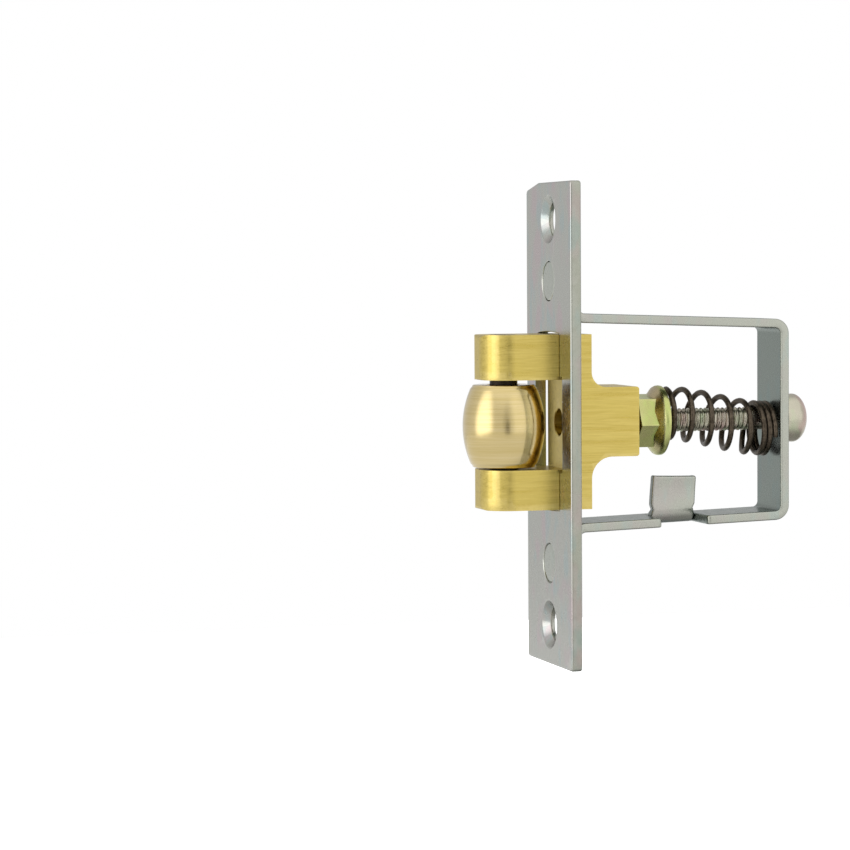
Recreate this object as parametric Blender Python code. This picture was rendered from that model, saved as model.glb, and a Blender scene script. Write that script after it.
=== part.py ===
"""Roller catch for a door edge: a spring-loaded brass roller in a zinc-plated steel case.

Metres, +Z up. The origin is the centre of the forend's back face, on the axis of the adjusting screw.
X runs into the door, so the roller stands out towards -X. Y is the width of the door edge.
"""

from math import cos, pi, radians, sin, sqrt, tan

import bmesh
import bpy
from mathutils import Matrix, Vector

# Clearance between pieces that touch or slide on each other
FIT_GAP = 0.0003

# Roller, a turned barrel on a pin
ROLLER_PROJECTION = 0.0152
ROLLER_DIAMETER = 0.0142
ROLLER_CROWN = 0.00165
ROLLER_LENGTH = 0.01425
ROLLER_EDGE_ROUND = 0.0004
PIN_DIAMETER = 0.0048
PIN_CHAMFER = 0.0004

# Roller carrier, one brass fork with a stem; its gap lies a little below the screw axis
CARRIER_WIDTH = 0.0120
UPPER_ARM_THICKNESS = 0.00775
LOWER_ARM_THICKNESS = 0.0069
ROLLER_END_PLAY = 0.00115
GAP_DROP = 0.00015
ROLLER_WEB_CLEARANCE = 0.0028
PIN_TO_NOSE = 0.0047
NOSE_FLAT = 0.0020
NOSE_EDGE_ROUND = 0.0007
WEB_THICKNESS = 0.0041
STEM_HEIGHT = 0.0120
STEM_LENGTH = 0.0086
STEM_RISE = 0.0002
STEM_FILLET_TOP = 0.0026
STEM_FILLET_BOTTOM = 0.0037
STEM_END_ROUND = 0.0005

# Adjusting screw and flange nut, 4.1 mm over the thread
SCREW_DIAMETER = 0.0041
SCREW_TIP_DEPTH = 0.0076
SCREW_TIP_CHAMFER = 0.0006
SCREW_HEAD_OVERHANG = 0.0022
SCREW_HEAD_RIM = 0.0026
SCREW_HEAD_DOME = 0.0022
SCREW_HEAD_FOOT_ROUND = 0.0003
RECESS_SPAN = 0.0042
RECESS_WIDTH = 0.0011
RECESS_DEPTH = 0.0018
NUT_LENGTH = 0.0057
NUT_WALL = 0.0022
NUT_TURN = radians(8.0)
NUT_CHAMFER = 0.0005
FLANGE_MARGIN = 0.00135
FLANGE_RIM = 0.0006
FLANGE_CONE = 0.0012

# Compression spring, at its fitted length
SPRING_LENGTH = 0.0196
SPRING_BORE_CLEARANCE = 0.00175
SPRING_FRONT_RISE = 0.0008
WIRE_DIAMETER = 0.00095
CLOSED_COIL_GAP = 0.00005
CLOSED_TURNS_FRONT = 0.3
OPEN_TURNS = 4.45
CLOSED_TURNS_REAR = 2.8
COIL_LEAN = 0.0004

# Frame, one strap bent into a U with out-turned feet
STRAP_THICKNESS = 0.0016
STRAP_WIDTH = 0.0115
LEG_CLEARANCE = 0.000975
LEG_LEAN = radians(2.0)
BEND_INNER_RADIUS = 0.0010
BRIDGE_HOLE_CLEARANCE = 0.0004

# Stop tab, lanced out of the lower leg and bent up
TAB_WIDTH = 0.0081
SHOULDER_TO_TAB = 0.0130
TAB_TOP_CLEARANCE = 0.0037
TAB_ROOT_MARGIN = 0.00275
TAB_RELIEF = 0.0001

# Rivets through forend and feet
RIVET_TO_LEG = 0.0055
RIVET_HEAD_DIAMETER = 0.0063
RIVET_SHANK_DIAMETER = 0.0040
RIVET_RIM = 0.0002
RIVET_LAND = 0.0002
RIVET_TAIL_DIAMETER = 0.0062
RIVET_TAIL_HEIGHT = 0.0011
FOOT_MARGIN = 0.0043

# Forend, the plate let into the door edge
FOREND_WIDTH = 0.0250
FOREND_THICKNESS = 0.0020
FOOT_TO_SCREW_HOLE = 0.00635
UPPER_HOLE_MARGIN = 0.0064
LOWER_HOLE_MARGIN = 0.0069
SCREW_HOLE_DIAMETER = 0.0059
COUNTERSINK_DIAMETER = 0.0082
CORNER_CUT_WIDTH = 0.0066
CORNER_CUT_HEIGHT = 0.0012
WINDOW_END_CLEARANCE = 0.0004
WINDOW_ROLLER_CLEARANCE = 0.0005

# Facets
ROUND_STEPS = 48
SMALL_ROUND_STEPS = 32
ARC_STEPS = 6
BARREL_STEPS = 14
DOME_STEPS = 7
WIRE_SIDES = 8
COIL_STEPS = 24
SHARP_ANGLE = radians(35.0)
WIRE_SHARP_ANGLE = radians(60.0)
MERGE_DISTANCE = 1e-7

# Sizes that follow from the ones above
ARM_GAP = ROLLER_LENGTH + ROLLER_END_PLAY
CARRIER_HEIGHT = ARM_GAP + UPPER_ARM_THICKNESS + LOWER_ARM_THICKNESS
NOSE_RADIUS = (CARRIER_WIDTH - NOSE_FLAT) / 2
PIN_BORE_DIAMETER = PIN_DIAMETER + 2 * FIT_GAP
SCREW_BORE_DIAMETER = SCREW_DIAMETER + 2 * FIT_GAP
SCREW_HEAD_DIAMETER = SCREW_DIAMETER + 2 * SCREW_HEAD_OVERHANG
NUT_ACROSS_FLATS = SCREW_DIAMETER + 2 * NUT_WALL
SPRING_DIAMETER = SCREW_DIAMETER + 2 * (SPRING_BORE_CLEARANCE + WIRE_DIAMETER)
SPRING_REAR_SAG = SPRING_BORE_CLEARANCE - FIT_GAP
CLOSED_PITCH = WIRE_DIAMETER + CLOSED_COIL_GAP
FLANGE_DIAMETER = SPRING_DIAMETER + 2 * FLANGE_MARGIN
BEND_OUTER_RADIUS = BEND_INNER_RADIUS + STRAP_THICKNESS
BRIDGE_HEIGHT = CARRIER_HEIGHT + 2 * (LEG_CLEARANCE + STRAP_THICKNESS)

# Places along the screw axis, from the roller to the screw's head
FRONT_X = -FOREND_THICKNESS
PIN_X = FRONT_X - ROLLER_PROJECTION + ROLLER_DIAMETER / 2
NOSE_X = PIN_X - PIN_TO_NOSE
WEB_X = PIN_X + ROLLER_DIAMETER / 2 + ROLLER_WEB_CLEARANCE
SHOULDER_X = WEB_X + WEB_THICKNESS
STEM_END_X = SHOULDER_X + STEM_LENGTH
SCREW_TIP_X = STEM_END_X - SCREW_TIP_DEPTH
NUT_X = STEM_END_X + FIT_GAP
NUT_REAR_X = NUT_X + NUT_LENGTH
SPRING_FRONT_X = NUT_REAR_X + FIT_GAP
SPRING_REAR_X = SPRING_FRONT_X + SPRING_LENGTH
BRIDGE_FRONT_X = SPRING_REAR_X + FIT_GAP
BRIDGE_REAR_X = BRIDGE_FRONT_X + STRAP_THICKNESS
HEAD_X = BRIDGE_REAR_X + FIT_GAP
FOOT_FRONT_X = FIT_GAP
FOOT_REAR_X = FOOT_FRONT_X + STRAP_THICKNESS
TAB_FRONT_X = SHOULDER_X + SHOULDER_TO_TAB
TAB_REAR_X = TAB_FRONT_X + TAB_WIDTH
LEAN_START_X = BRIDGE_FRONT_X - BEND_INNER_RADIUS

# Places up and down the forend
GAP_TOP_Z = ARM_GAP / 2 - GAP_DROP
GAP_BOTTOM_Z = GAP_TOP_Z - ARM_GAP
CARRIER_TOP_Z = GAP_TOP_Z + UPPER_ARM_THICKNESS
CARRIER_BOTTOM_Z = GAP_BOTTOM_Z - LOWER_ARM_THICKNESS
ROLLER_BOTTOM_Z = GAP_BOTTOM_Z + FIT_GAP
FOOT_SPREAD = (LEAN_START_X - FOOT_FRONT_X) * tan(LEG_LEAN)
RIVET_Z = BRIDGE_HEIGHT / 2 + FOOT_SPREAD + RIVET_TO_LEG
FOOT_END_Z = RIVET_Z + FOOT_MARGIN
SCREW_HOLE_Z = FOOT_END_Z + FOOT_TO_SCREW_HOLE
FOREND_TOP_Z = SCREW_HOLE_Z + UPPER_HOLE_MARGIN
FOREND_BOTTOM_Z = -SCREW_HOLE_Z - LOWER_HOLE_MARGIN

# Place of the tab's bend across the strap
TAB_ROOT_Y = STRAP_WIDTH / 2 - TAB_ROOT_MARGIN


def clear_scene():
    """Empty the scene of every object."""
    for obj in list(bpy.data.objects):
        bpy.data.objects.remove(obj, do_unlink=True)


def make_material(name, colour, roughness, metallic):
    """A plain Principled material."""
    material = bpy.data.materials.new(name)
    material.use_nodes = True
    shader = material.node_tree.nodes["Principled BSDF"]
    shader.inputs["Base Color"].default_value = (*colour, 1.0)
    shader.inputs["Roughness"].default_value = roughness
    shader.inputs["Metallic"].default_value = metallic
    return material


def make_object(name, bm, origin=(0.0, 0.0, 0.0)):
    """Turn a bmesh in world coordinates into an object whose origin is at the given place."""
    bmesh.ops.remove_doubles(bm, verts=bm.verts, dist=MERGE_DISTANCE)
    bmesh.ops.recalc_face_normals(bm, faces=bm.faces)
    bmesh.ops.translate(bm, verts=bm.verts, vec=-Vector(origin))
    mesh = bpy.data.meshes.new(name)
    bm.to_mesh(mesh)
    bm.free()
    obj = bpy.data.objects.new(name, mesh)
    obj.location = origin
    bpy.context.collection.objects.link(obj)
    return obj


def prism(points, vector):
    """Extrude a closed outline of 3D points along a vector."""
    bm = bmesh.new()
    face = bm.faces.new([bm.verts.new(point) for point in points])
    extruded = bmesh.ops.extrude_face_region(bm, geom=[face])
    moved = [item for item in extruded["geom"] if isinstance(item, bmesh.types.BMVert)]
    bmesh.ops.translate(bm, verts=moved, vec=Vector(vector))
    return bm


def revolve(profile, axis, steps):
    """Turn a closed profile of (radius, distance along axis) points about the X or Z axis."""
    bm = bmesh.new()
    if axis == "X":
        points = [Vector((along, 0.0, radius)) for radius, along in profile]
        direction = Vector((1.0, 0.0, 0.0))
    else:
        points = [Vector((radius, 0.0, along)) for radius, along in profile]
        direction = Vector((0.0, 0.0, 1.0))
    verts = [bm.verts.new(point) for point in points]
    edges = [bm.edges.new((verts[i], verts[(i + 1) % len(verts)])) for i in range(len(verts))]
    edges = [edge for edge in edges if not all(on_axis(vert.co, direction) for vert in edge.verts)]
    bmesh.ops.spin(
        bm,
        geom=edges + verts,
        cent=(0.0, 0.0, 0.0),
        axis=direction,
        angle=2 * pi,
        steps=steps,
        use_merge=True,
    )
    loose = [edge for edge in bm.edges if not edge.link_faces]
    bmesh.ops.delete(bm, geom=loose, context="EDGES")
    return bm


def rod(axis, radius, start, end):
    """A plain cylinder on the X or Z axis, used to bore holes."""
    return revolve([(0.0, start), (radius, start), (radius, end), (0.0, end)], axis, SMALL_ROUND_STEPS)


def on_axis(point, direction):
    """True where a profile point lies on the turning axis."""
    return (point - direction * point.dot(direction)).length < MERGE_DISTANCE


def arc(centre, radius, start, end, steps=ARC_STEPS):
    """Points on a plane arc, both ends included."""
    points = []
    for step in range(steps + 1):
        angle = start + (end - start) * step / steps
        points.append((centre[0] + radius * cos(angle), centre[1] + radius * sin(angle)))
    return points


def rounded(corners):
    """An outline from (x, y, radius) corners, each corner with a radius turned into an arc."""
    points = []
    count = len(corners)
    for index, (x, y, radius) in enumerate(corners):
        here = Vector((x, y))
        if radius <= 0.0:
            points.append((x, y))
            continue
        before = Vector(corners[index - 1][:2]) - here
        after = Vector(corners[(index + 1) % count][:2]) - here
        half = before.angle(after) / 2
        setback = radius / tan(half)
        bisector = (before.normalized() + after.normalized()).normalized()
        centre = here + bisector * (radius / sin(half))
        first = here + before.normalized() * setback - centre
        last = here + after.normalized() * setback - centre
        turn = first.angle_signed(last)
        for step in range(ARC_STEPS + 1):
            angle = -turn * step / ARC_STEPS
            spoke = Matrix.Rotation(angle, 2) @ first
            points.append(tuple(centre + spoke))
    return points


def boolean(obj, cutter_bm, operation, name):
    """Add an exact Boolean to an object, with a cutter that isn't part of the model."""
    cutter = make_object(name, cutter_bm, obj.location)
    cutter.hide_render = True
    cutter.display_type = "WIRE"
    modifier = obj.modifiers.new(name, "BOOLEAN")
    modifier.operation = operation
    modifier.solver = "EXACT"
    modifier.object = cutter


def apply_modifiers(obj):
    """Replace an object's mesh with what its modifiers make of it."""
    depsgraph = bpy.context.evaluated_depsgraph_get()
    mesh = bpy.data.meshes.new_from_object(obj.evaluated_get(depsgraph))
    obj.modifiers.clear()
    obj.data = mesh


def finish(obj, material, smooth_angle=None):
    """Give an object its material and, on a round piece, smooth shading."""
    obj.data.materials.clear()
    obj.data.materials.append(material)
    if smooth_angle is not None:
        obj.data.shade_smooth()
        obj.data.set_sharp_from_angle(angle=smooth_angle)
    return obj


def across_thickness(outline, x_from, x_to):
    """Extrude a (y, z) outline from one X to another."""
    points = [(x_from, y, z) for y, z in outline]
    return prism(points, (x_to - x_from, 0.0, 0.0))


def countersink_cutter(z, hole_radius, sink_radius, sink_depth, rim):
    """A hole along X with a cone at the forend's front face, open past both faces."""
    reach = FOREND_THICKNESS
    profile = [
        (0.0, FRONT_X - reach),
        (sink_radius, FRONT_X - reach),
        (sink_radius, FRONT_X + rim),
        (hole_radius, FRONT_X + rim + sink_depth),
        (hole_radius, reach),
        (0.0, reach),
    ]
    bm = revolve(profile, "X", SMALL_ROUND_STEPS)
    bmesh.ops.translate(bm, verts=bm.verts, vec=(0.0, 0.0, z))
    return bm


def build_forend(material):
    """The face plate with its cross window, screw holes and rivet seats."""
    half_width = FOREND_WIDTH / 2
    outline = [
        (-half_width, FOREND_BOTTOM_Z),
        (half_width, FOREND_BOTTOM_Z),
        (half_width, FOREND_TOP_Z - CORNER_CUT_HEIGHT),
        (half_width - CORNER_CUT_WIDTH, FOREND_TOP_Z),
        (-half_width, FOREND_TOP_Z),
    ]
    forend = make_object("forend", across_thickness(outline, FRONT_X, 0.0))

    arm_half_y = CARRIER_WIDTH / 2 + FIT_GAP
    arm_top = CARRIER_TOP_Z + WINDOW_END_CLEARANCE
    arm_bottom = CARRIER_BOTTOM_Z - WINDOW_END_CLEARANCE
    roller_half_y = ROLLER_DIAMETER / 2 + WINDOW_ROLLER_CLEARANCE
    roller_top = GAP_TOP_Z + WINDOW_ROLLER_CLEARANCE
    roller_bottom = GAP_BOTTOM_Z - WINDOW_ROLLER_CLEARANCE
    window = [
        (-arm_half_y, arm_bottom),
        (arm_half_y, arm_bottom),
        (arm_half_y, roller_bottom),
        (roller_half_y, roller_bottom),
        (roller_half_y, roller_top),
        (arm_half_y, roller_top),
        (arm_half_y, arm_top),
        (-arm_half_y, arm_top),
        (-arm_half_y, roller_top),
        (-roller_half_y, roller_top),
        (-roller_half_y, roller_bottom),
        (-arm_half_y, roller_bottom),
    ]
    boolean(forend, across_thickness(window, 2 * FRONT_X, FOREND_THICKNESS), "DIFFERENCE", "window_cutter")

    hole_radius = SCREW_HOLE_DIAMETER / 2
    sink_radius = COUNTERSINK_DIAMETER / 2
    seat_hole_radius = RIVET_SHANK_DIAMETER / 2 + FIT_GAP
    seat_radius = RIVET_HEAD_DIAMETER / 2 + FIT_GAP
    sink_depth = sink_radius - hole_radius
    for side, end in ((1, "upper"), (-1, "lower")):
        hole_z = side * SCREW_HOLE_Z
        hole = countersink_cutter(hole_z, hole_radius, sink_radius, sink_depth, 0.0)
        boolean(forend, hole, "DIFFERENCE", f"screw_hole_cutter_{end}")
        seat_z = side * RIVET_Z
        seat = countersink_cutter(seat_z, seat_hole_radius, seat_radius, rivet_cone_depth(), RIVET_RIM)
        boolean(forend, seat, "DIFFERENCE", f"rivet_seat_cutter_{end}")
    return finish(forend, material)


def rivet_cone_depth():
    """Depth of the rivet head's cone, which leaves a land before the forend's back face."""
    return FOREND_THICKNESS - RIVET_RIM - RIVET_LAND


def strap_outline():
    """Side outline of the bent strap, legs still square to the bridge: outer line out, inner line back."""
    half = BRIDGE_HEIGHT / 2
    inner = half - STRAP_THICKNESS
    foot_end = FOOT_END_Z - FOOT_SPREAD
    outer_line = [
        (FOOT_REAR_X, foot_end, 0.0),
        (FOOT_REAR_X, half, BEND_INNER_RADIUS),
        (BRIDGE_REAR_X, half, BEND_OUTER_RADIUS),
        (BRIDGE_REAR_X, -half, BEND_OUTER_RADIUS),
        (FOOT_REAR_X, -half, BEND_INNER_RADIUS),
        (FOOT_REAR_X, -foot_end, 0.0),
    ]
    inner_line = [
        (FOOT_FRONT_X, -foot_end, 0.0),
        (FOOT_FRONT_X, -inner, BEND_OUTER_RADIUS),
        (BRIDGE_FRONT_X, -inner, BEND_INNER_RADIUS),
        (BRIDGE_FRONT_X, inner, BEND_INNER_RADIUS),
        (FOOT_FRONT_X, inner, BEND_OUTER_RADIUS),
        (FOOT_FRONT_X, foot_end, 0.0),
    ]
    return rounded(outer_line + inner_line)


def leg_spread(x):
    """How far a leg stands outside the bridge's height at this X, because the legs lean in."""
    return max(0.0, LEAN_START_X - x) * tan(LEG_LEAN)


def tab_outline(bottom_z):
    """Section of the stop tab in (y, z): strap edge, bend, upright, with the far end inside the leg."""
    top_z = -FLANGE_DIAMETER / 2 - TAB_TOP_CLEARANCE + leg_spread(TAB_FRONT_X)
    leg_top_z = bottom_z + STRAP_THICKNESS
    bend_centre = (TAB_ROOT_Y, bottom_z + BEND_OUTER_RADIUS)
    root_y = (TAB_ROOT_Y + STRAP_WIDTH / 2) / 2
    outer = arc(bend_centre, BEND_OUTER_RADIUS, -pi / 2, -pi)
    inner = arc(bend_centre, BEND_INNER_RADIUS, -pi, -pi / 2)
    upright = [
        (TAB_ROOT_Y - BEND_OUTER_RADIUS, top_z),
        (TAB_ROOT_Y - BEND_INNER_RADIUS, top_z),
    ]
    return [(root_y, bottom_z)] + outer + upright + inner + [(root_y, leg_top_z)]


def lean_legs(obj):
    """Spread the legs from the bridge towards the feet."""
    for vert in obj.data.vertices:
        side = 1.0 if vert.co.z > 0.0 else -1.0
        vert.co.z += side * leg_spread(vert.co.x)


def build_frame(material):
    """The strap with its rivet holes, screw hole and lanced stop tab."""
    half_y = STRAP_WIDTH / 2
    outline = [(x, -half_y, z) for x, z in strap_outline()]
    frame = make_object("frame", prism(outline, (0.0, STRAP_WIDTH, 0.0)))

    leg_bottom_z = -BRIDGE_HEIGHT / 2
    notch = [
        (-half_y - STRAP_THICKNESS, leg_bottom_z - STRAP_THICKNESS),
        (TAB_ROOT_Y, leg_bottom_z - STRAP_THICKNESS),
        (TAB_ROOT_Y, leg_bottom_z + 2 * STRAP_THICKNESS),
        (-half_y - STRAP_THICKNESS, leg_bottom_z + 2 * STRAP_THICKNESS),
    ]
    notch_bm = across_thickness(notch, TAB_FRONT_X - TAB_RELIEF, TAB_REAR_X + TAB_RELIEF)
    boolean(frame, notch_bm, "DIFFERENCE", "tab_notch_cutter")
    tab_bm = across_thickness(tab_outline(leg_bottom_z), TAB_FRONT_X, TAB_REAR_X)
    boolean(frame, tab_bm, "UNION", "tab_joiner")

    hole_radius = SCREW_DIAMETER / 2 + BRIDGE_HOLE_CLEARANCE
    bridge_hole = rod("X", hole_radius, BRIDGE_FRONT_X - STRAP_THICKNESS, BRIDGE_REAR_X + STRAP_THICKNESS)
    boolean(frame, bridge_hole, "DIFFERENCE", "screw_clearance_cutter")
    rivet_hole_radius = RIVET_SHANK_DIAMETER / 2 + FIT_GAP
    for side, end in ((1, "upper"), (-1, "lower")):
        foot_hole = rod("X", rivet_hole_radius, -STRAP_THICKNESS, FOOT_REAR_X + STRAP_THICKNESS)
        bmesh.ops.translate(foot_hole, verts=foot_hole.verts, vec=(0.0, 0.0, side * (RIVET_Z - FOOT_SPREAD)))
        boolean(frame, foot_hole, "DIFFERENCE", f"foot_hole_cutter_{end}")
    apply_modifiers(frame)
    lean_legs(frame)
    return finish(frame, material)


def build_rivet(end, side, material):
    """A countersunk rivet, flush in front, with its tail set behind the foot."""
    head_radius = RIVET_HEAD_DIAMETER / 2
    shank_radius = RIVET_SHANK_DIAMETER / 2
    tail_x = FOOT_REAR_X + FIT_GAP
    tail_radius = RIVET_TAIL_DIAMETER / 2
    profile = [
        (0.0, FRONT_X),
        (head_radius, FRONT_X),
        (head_radius, FRONT_X + RIVET_RIM),
        (shank_radius, FRONT_X + RIVET_RIM + rivet_cone_depth()),
        (shank_radius, tail_x),
        (tail_radius, tail_x),
    ]
    for step in range(1, ARC_STEPS + 1):
        angle = pi / 2 * step / ARC_STEPS
        profile.append((tail_radius * cos(angle), tail_x + RIVET_TAIL_HEIGHT * sin(angle)))
    profile[-1] = (0.0, tail_x + RIVET_TAIL_HEIGHT)
    bm = revolve(profile, "X", SMALL_ROUND_STEPS)
    place = Vector((0.0, 0.0, side * RIVET_Z))
    bmesh.ops.translate(bm, verts=bm.verts, vec=place)
    return finish(make_object(f"rivet_{end}", bm, place), material, SHARP_ANGLE)


def carrier_side_outline():
    """Side view of the fork: arms to the left, shoulders and stem to the right."""
    stem_top = STEM_RISE + STEM_HEIGHT / 2
    stem_bottom = STEM_RISE - STEM_HEIGHT / 2
    return rounded(
        [
            (NOSE_X, CARRIER_TOP_Z, NOSE_EDGE_ROUND),
            (SHOULDER_X, CARRIER_TOP_Z, 0.0),
            (SHOULDER_X, stem_top, STEM_FILLET_TOP),
            (STEM_END_X, stem_top, STEM_END_ROUND),
            (STEM_END_X, stem_bottom, STEM_END_ROUND),
            (SHOULDER_X, stem_bottom, STEM_FILLET_BOTTOM),
            (SHOULDER_X, CARRIER_BOTTOM_Z, 0.0),
            (NOSE_X, CARRIER_BOTTOM_Z, NOSE_EDGE_ROUND),
            (NOSE_X, GAP_BOTTOM_Z, 0.0),
            (WEB_X, GAP_BOTTOM_Z, 0.0),
            (WEB_X, GAP_TOP_Z, 0.0),
            (NOSE_X, GAP_TOP_Z, 0.0),
        ]
    )


def build_carrier(material):
    """The fork: its side outline crossed with its rounded plan outline, then bored."""
    half_y = CARRIER_WIDTH / 2
    side_points = [(x, -half_y, z) for x, z in carrier_side_outline()]
    origin = (SHOULDER_X, 0.0, 0.0)
    carrier = make_object("roller_carrier", prism(side_points, (0.0, CARRIER_WIDTH, 0.0)), origin)

    plan = rounded(
        [
            (NOSE_X, -half_y, NOSE_RADIUS),
            (STEM_END_X + STEM_LENGTH, -half_y, 0.0),
            (STEM_END_X + STEM_LENGTH, half_y, 0.0),
            (NOSE_X, half_y, NOSE_RADIUS),
        ]
    )
    plan_points = [(x, y, -CARRIER_HEIGHT) for x, y in plan]
    boolean(carrier, prism(plan_points, (0.0, 0.0, 2 * CARRIER_HEIGHT)), "INTERSECT", "carrier_plan")

    pin_bore = rod("Z", PIN_BORE_DIAMETER / 2, -CARRIER_HEIGHT, CARRIER_HEIGHT)
    bmesh.ops.translate(pin_bore, verts=pin_bore.verts, vec=(PIN_X, 0.0, 0.0))
    boolean(carrier, pin_bore, "DIFFERENCE", "pin_bore_cutter")
    screw_bore = rod("X", SCREW_BORE_DIAMETER / 2, WEB_X - WEB_THICKNESS, STEM_END_X + WEB_THICKNESS)
    boolean(carrier, screw_bore, "DIFFERENCE", "screw_bore_cutter")
    return finish(carrier, material)


def build_roller(material):
    """The barrel roller: a crowned side between two flat ends, bored for its pin."""
    bore = PIN_BORE_DIAMETER / 2
    end_radius = ROLLER_DIAMETER / 2 - ROLLER_CROWN
    half = ROLLER_LENGTH / 2
    barrel_radius = (half * half + ROLLER_CROWN * ROLLER_CROWN) / (2 * ROLLER_CROWN)
    middle_z = ROLLER_BOTTOM_Z + half
    profile = [(bore, middle_z - half), (end_radius - ROLLER_EDGE_ROUND, middle_z - half)]
    for step in range(BARREL_STEPS + 1):
        z = (half - ROLLER_EDGE_ROUND) * (2 * step / BARREL_STEPS - 1)
        sagitta = barrel_radius - sqrt(barrel_radius * barrel_radius - z * z)
        profile.append((ROLLER_DIAMETER / 2 - sagitta, middle_z + z))
    profile += [(end_radius - ROLLER_EDGE_ROUND, middle_z + half), (bore, middle_z + half)]
    bm = revolve(profile, "Z", ROUND_STEPS)
    bmesh.ops.translate(bm, verts=bm.verts, vec=(PIN_X, 0.0, 0.0))
    return finish(make_object("roller", bm, (PIN_X, 0.0, middle_z)), material, SHARP_ANGLE)


def build_pin(material):
    """The roller's axle, flush with the outer faces of the arms."""
    radius = PIN_DIAMETER / 2
    profile = [
        (0.0, CARRIER_BOTTOM_Z),
        (radius - PIN_CHAMFER, CARRIER_BOTTOM_Z),
        (radius, CARRIER_BOTTOM_Z + PIN_CHAMFER),
        (radius, CARRIER_TOP_Z - PIN_CHAMFER),
        (radius - PIN_CHAMFER, CARRIER_TOP_Z),
        (0.0, CARRIER_TOP_Z),
    ]
    bm = revolve(profile, "Z", SMALL_ROUND_STEPS)
    bmesh.ops.translate(bm, verts=bm.verts, vec=(PIN_X, 0.0, 0.0))
    return finish(make_object("roller_pin", bm, (PIN_X, 0.0, 0.0)), material, SHARP_ANGLE)


def build_screw(material):
    """The adjusting screw: chamfered tip, shank, and a domed head with a cross recess."""
    radius = SCREW_DIAMETER / 2
    head_radius = SCREW_HEAD_DIAMETER / 2
    dome_x = HEAD_X + SCREW_HEAD_RIM
    top_x = dome_x + SCREW_HEAD_DOME
    dome_radius = (head_radius**2 + SCREW_HEAD_DOME**2) / (2 * SCREW_HEAD_DOME)
    profile = [
        (0.0, SCREW_TIP_X),
        (radius - SCREW_TIP_CHAMFER, SCREW_TIP_X),
        (radius, SCREW_TIP_X + SCREW_TIP_CHAMFER),
        (radius, HEAD_X),
        (head_radius - SCREW_HEAD_FOOT_ROUND, HEAD_X),
        (head_radius, HEAD_X + SCREW_HEAD_FOOT_ROUND),
    ]
    for step in range(DOME_STEPS):
        ring = head_radius * (1 - step / DOME_STEPS)
        profile.append((ring, top_x - dome_radius + sqrt(dome_radius**2 - ring**2)))
    profile.append((0.0, top_x))
    screw = make_object("adjusting_screw", revolve(profile, "X", SMALL_ROUND_STEPS), (HEAD_X, 0.0, 0.0))

    half_span = RECESS_SPAN / 2
    half_width = RECESS_WIDTH / 2
    cross = [
        (-half_width, -half_span),
        (half_width, -half_span),
        (half_width, -half_width),
        (half_span, -half_width),
        (half_span, half_width),
        (half_width, half_width),
        (half_width, half_span),
        (-half_width, half_span),
        (-half_width, half_width),
        (-half_span, half_width),
        (-half_span, -half_width),
        (-half_width, -half_width),
    ]
    recess = across_thickness(cross, top_x - RECESS_DEPTH, top_x + RECESS_DEPTH)
    boolean(screw, recess, "DIFFERENCE", "cross_recess_cutter")
    return finish(screw, material, SHARP_ANGLE)


def hexagon_ring(across_flats, outer_radius, x_from, x_to):
    """What a hexagon leaves of a round bar: a ring with a six-sided hole, along X."""
    bm = bmesh.new()
    corner_radius = across_flats / (2 * cos(pi / 6))
    loops = []
    for radius in (corner_radius, outer_radius):
        for x in (x_from, x_to):
            loop = []
            for index in range(6):
                angle = NUT_TURN + index * pi / 3
                loop.append(bm.verts.new((x, radius * cos(angle), radius * sin(angle))))
            loops.append(loop)
    inner_from, inner_to, outer_from, outer_to = loops
    for index in range(6):
        after = (index + 1) % 6
        bm.faces.new((inner_from[index], inner_from[after], inner_to[after], inner_to[index]))
        bm.faces.new((outer_from[index], outer_from[after], outer_to[after], outer_to[index]))
        bm.faces.new((inner_from[index], inner_from[after], outer_from[after], outer_from[index]))
        bm.faces.new((inner_to[index], inner_to[after], outer_to[after], outer_to[index]))
    return bm


def build_nut(material):
    """The flange nut: turned blank with a cone under the hexagon, then six flats."""
    bore = SCREW_BORE_DIAMETER / 2
    flange = FLANGE_DIAMETER / 2
    corner = NUT_ACROSS_FLATS / (2 * cos(pi / 6))
    rim_front_x = NUT_REAR_X - FLANGE_RIM
    cone_front_x = rim_front_x - FLANGE_CONE
    profile = [
        (bore, NUT_X),
        (corner - NUT_CHAMFER * sqrt(3), NUT_X),
        (corner, NUT_X + NUT_CHAMFER),
        (corner, cone_front_x),
        (flange, rim_front_x),
        (flange, NUT_REAR_X),
        (bore, NUT_REAR_X),
    ]
    nut = make_object("flange_nut", revolve(profile, "X", ROUND_STEPS), (NUT_X, 0.0, 0.0))
    flats = hexagon_ring(NUT_ACROSS_FLATS, 2 * flange, NUT_X - NUT_LENGTH, cone_front_x)
    boolean(nut, flats, "DIFFERENCE", "wrench_flat_cutter")
    return finish(nut, material, SHARP_ANGLE)


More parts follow.
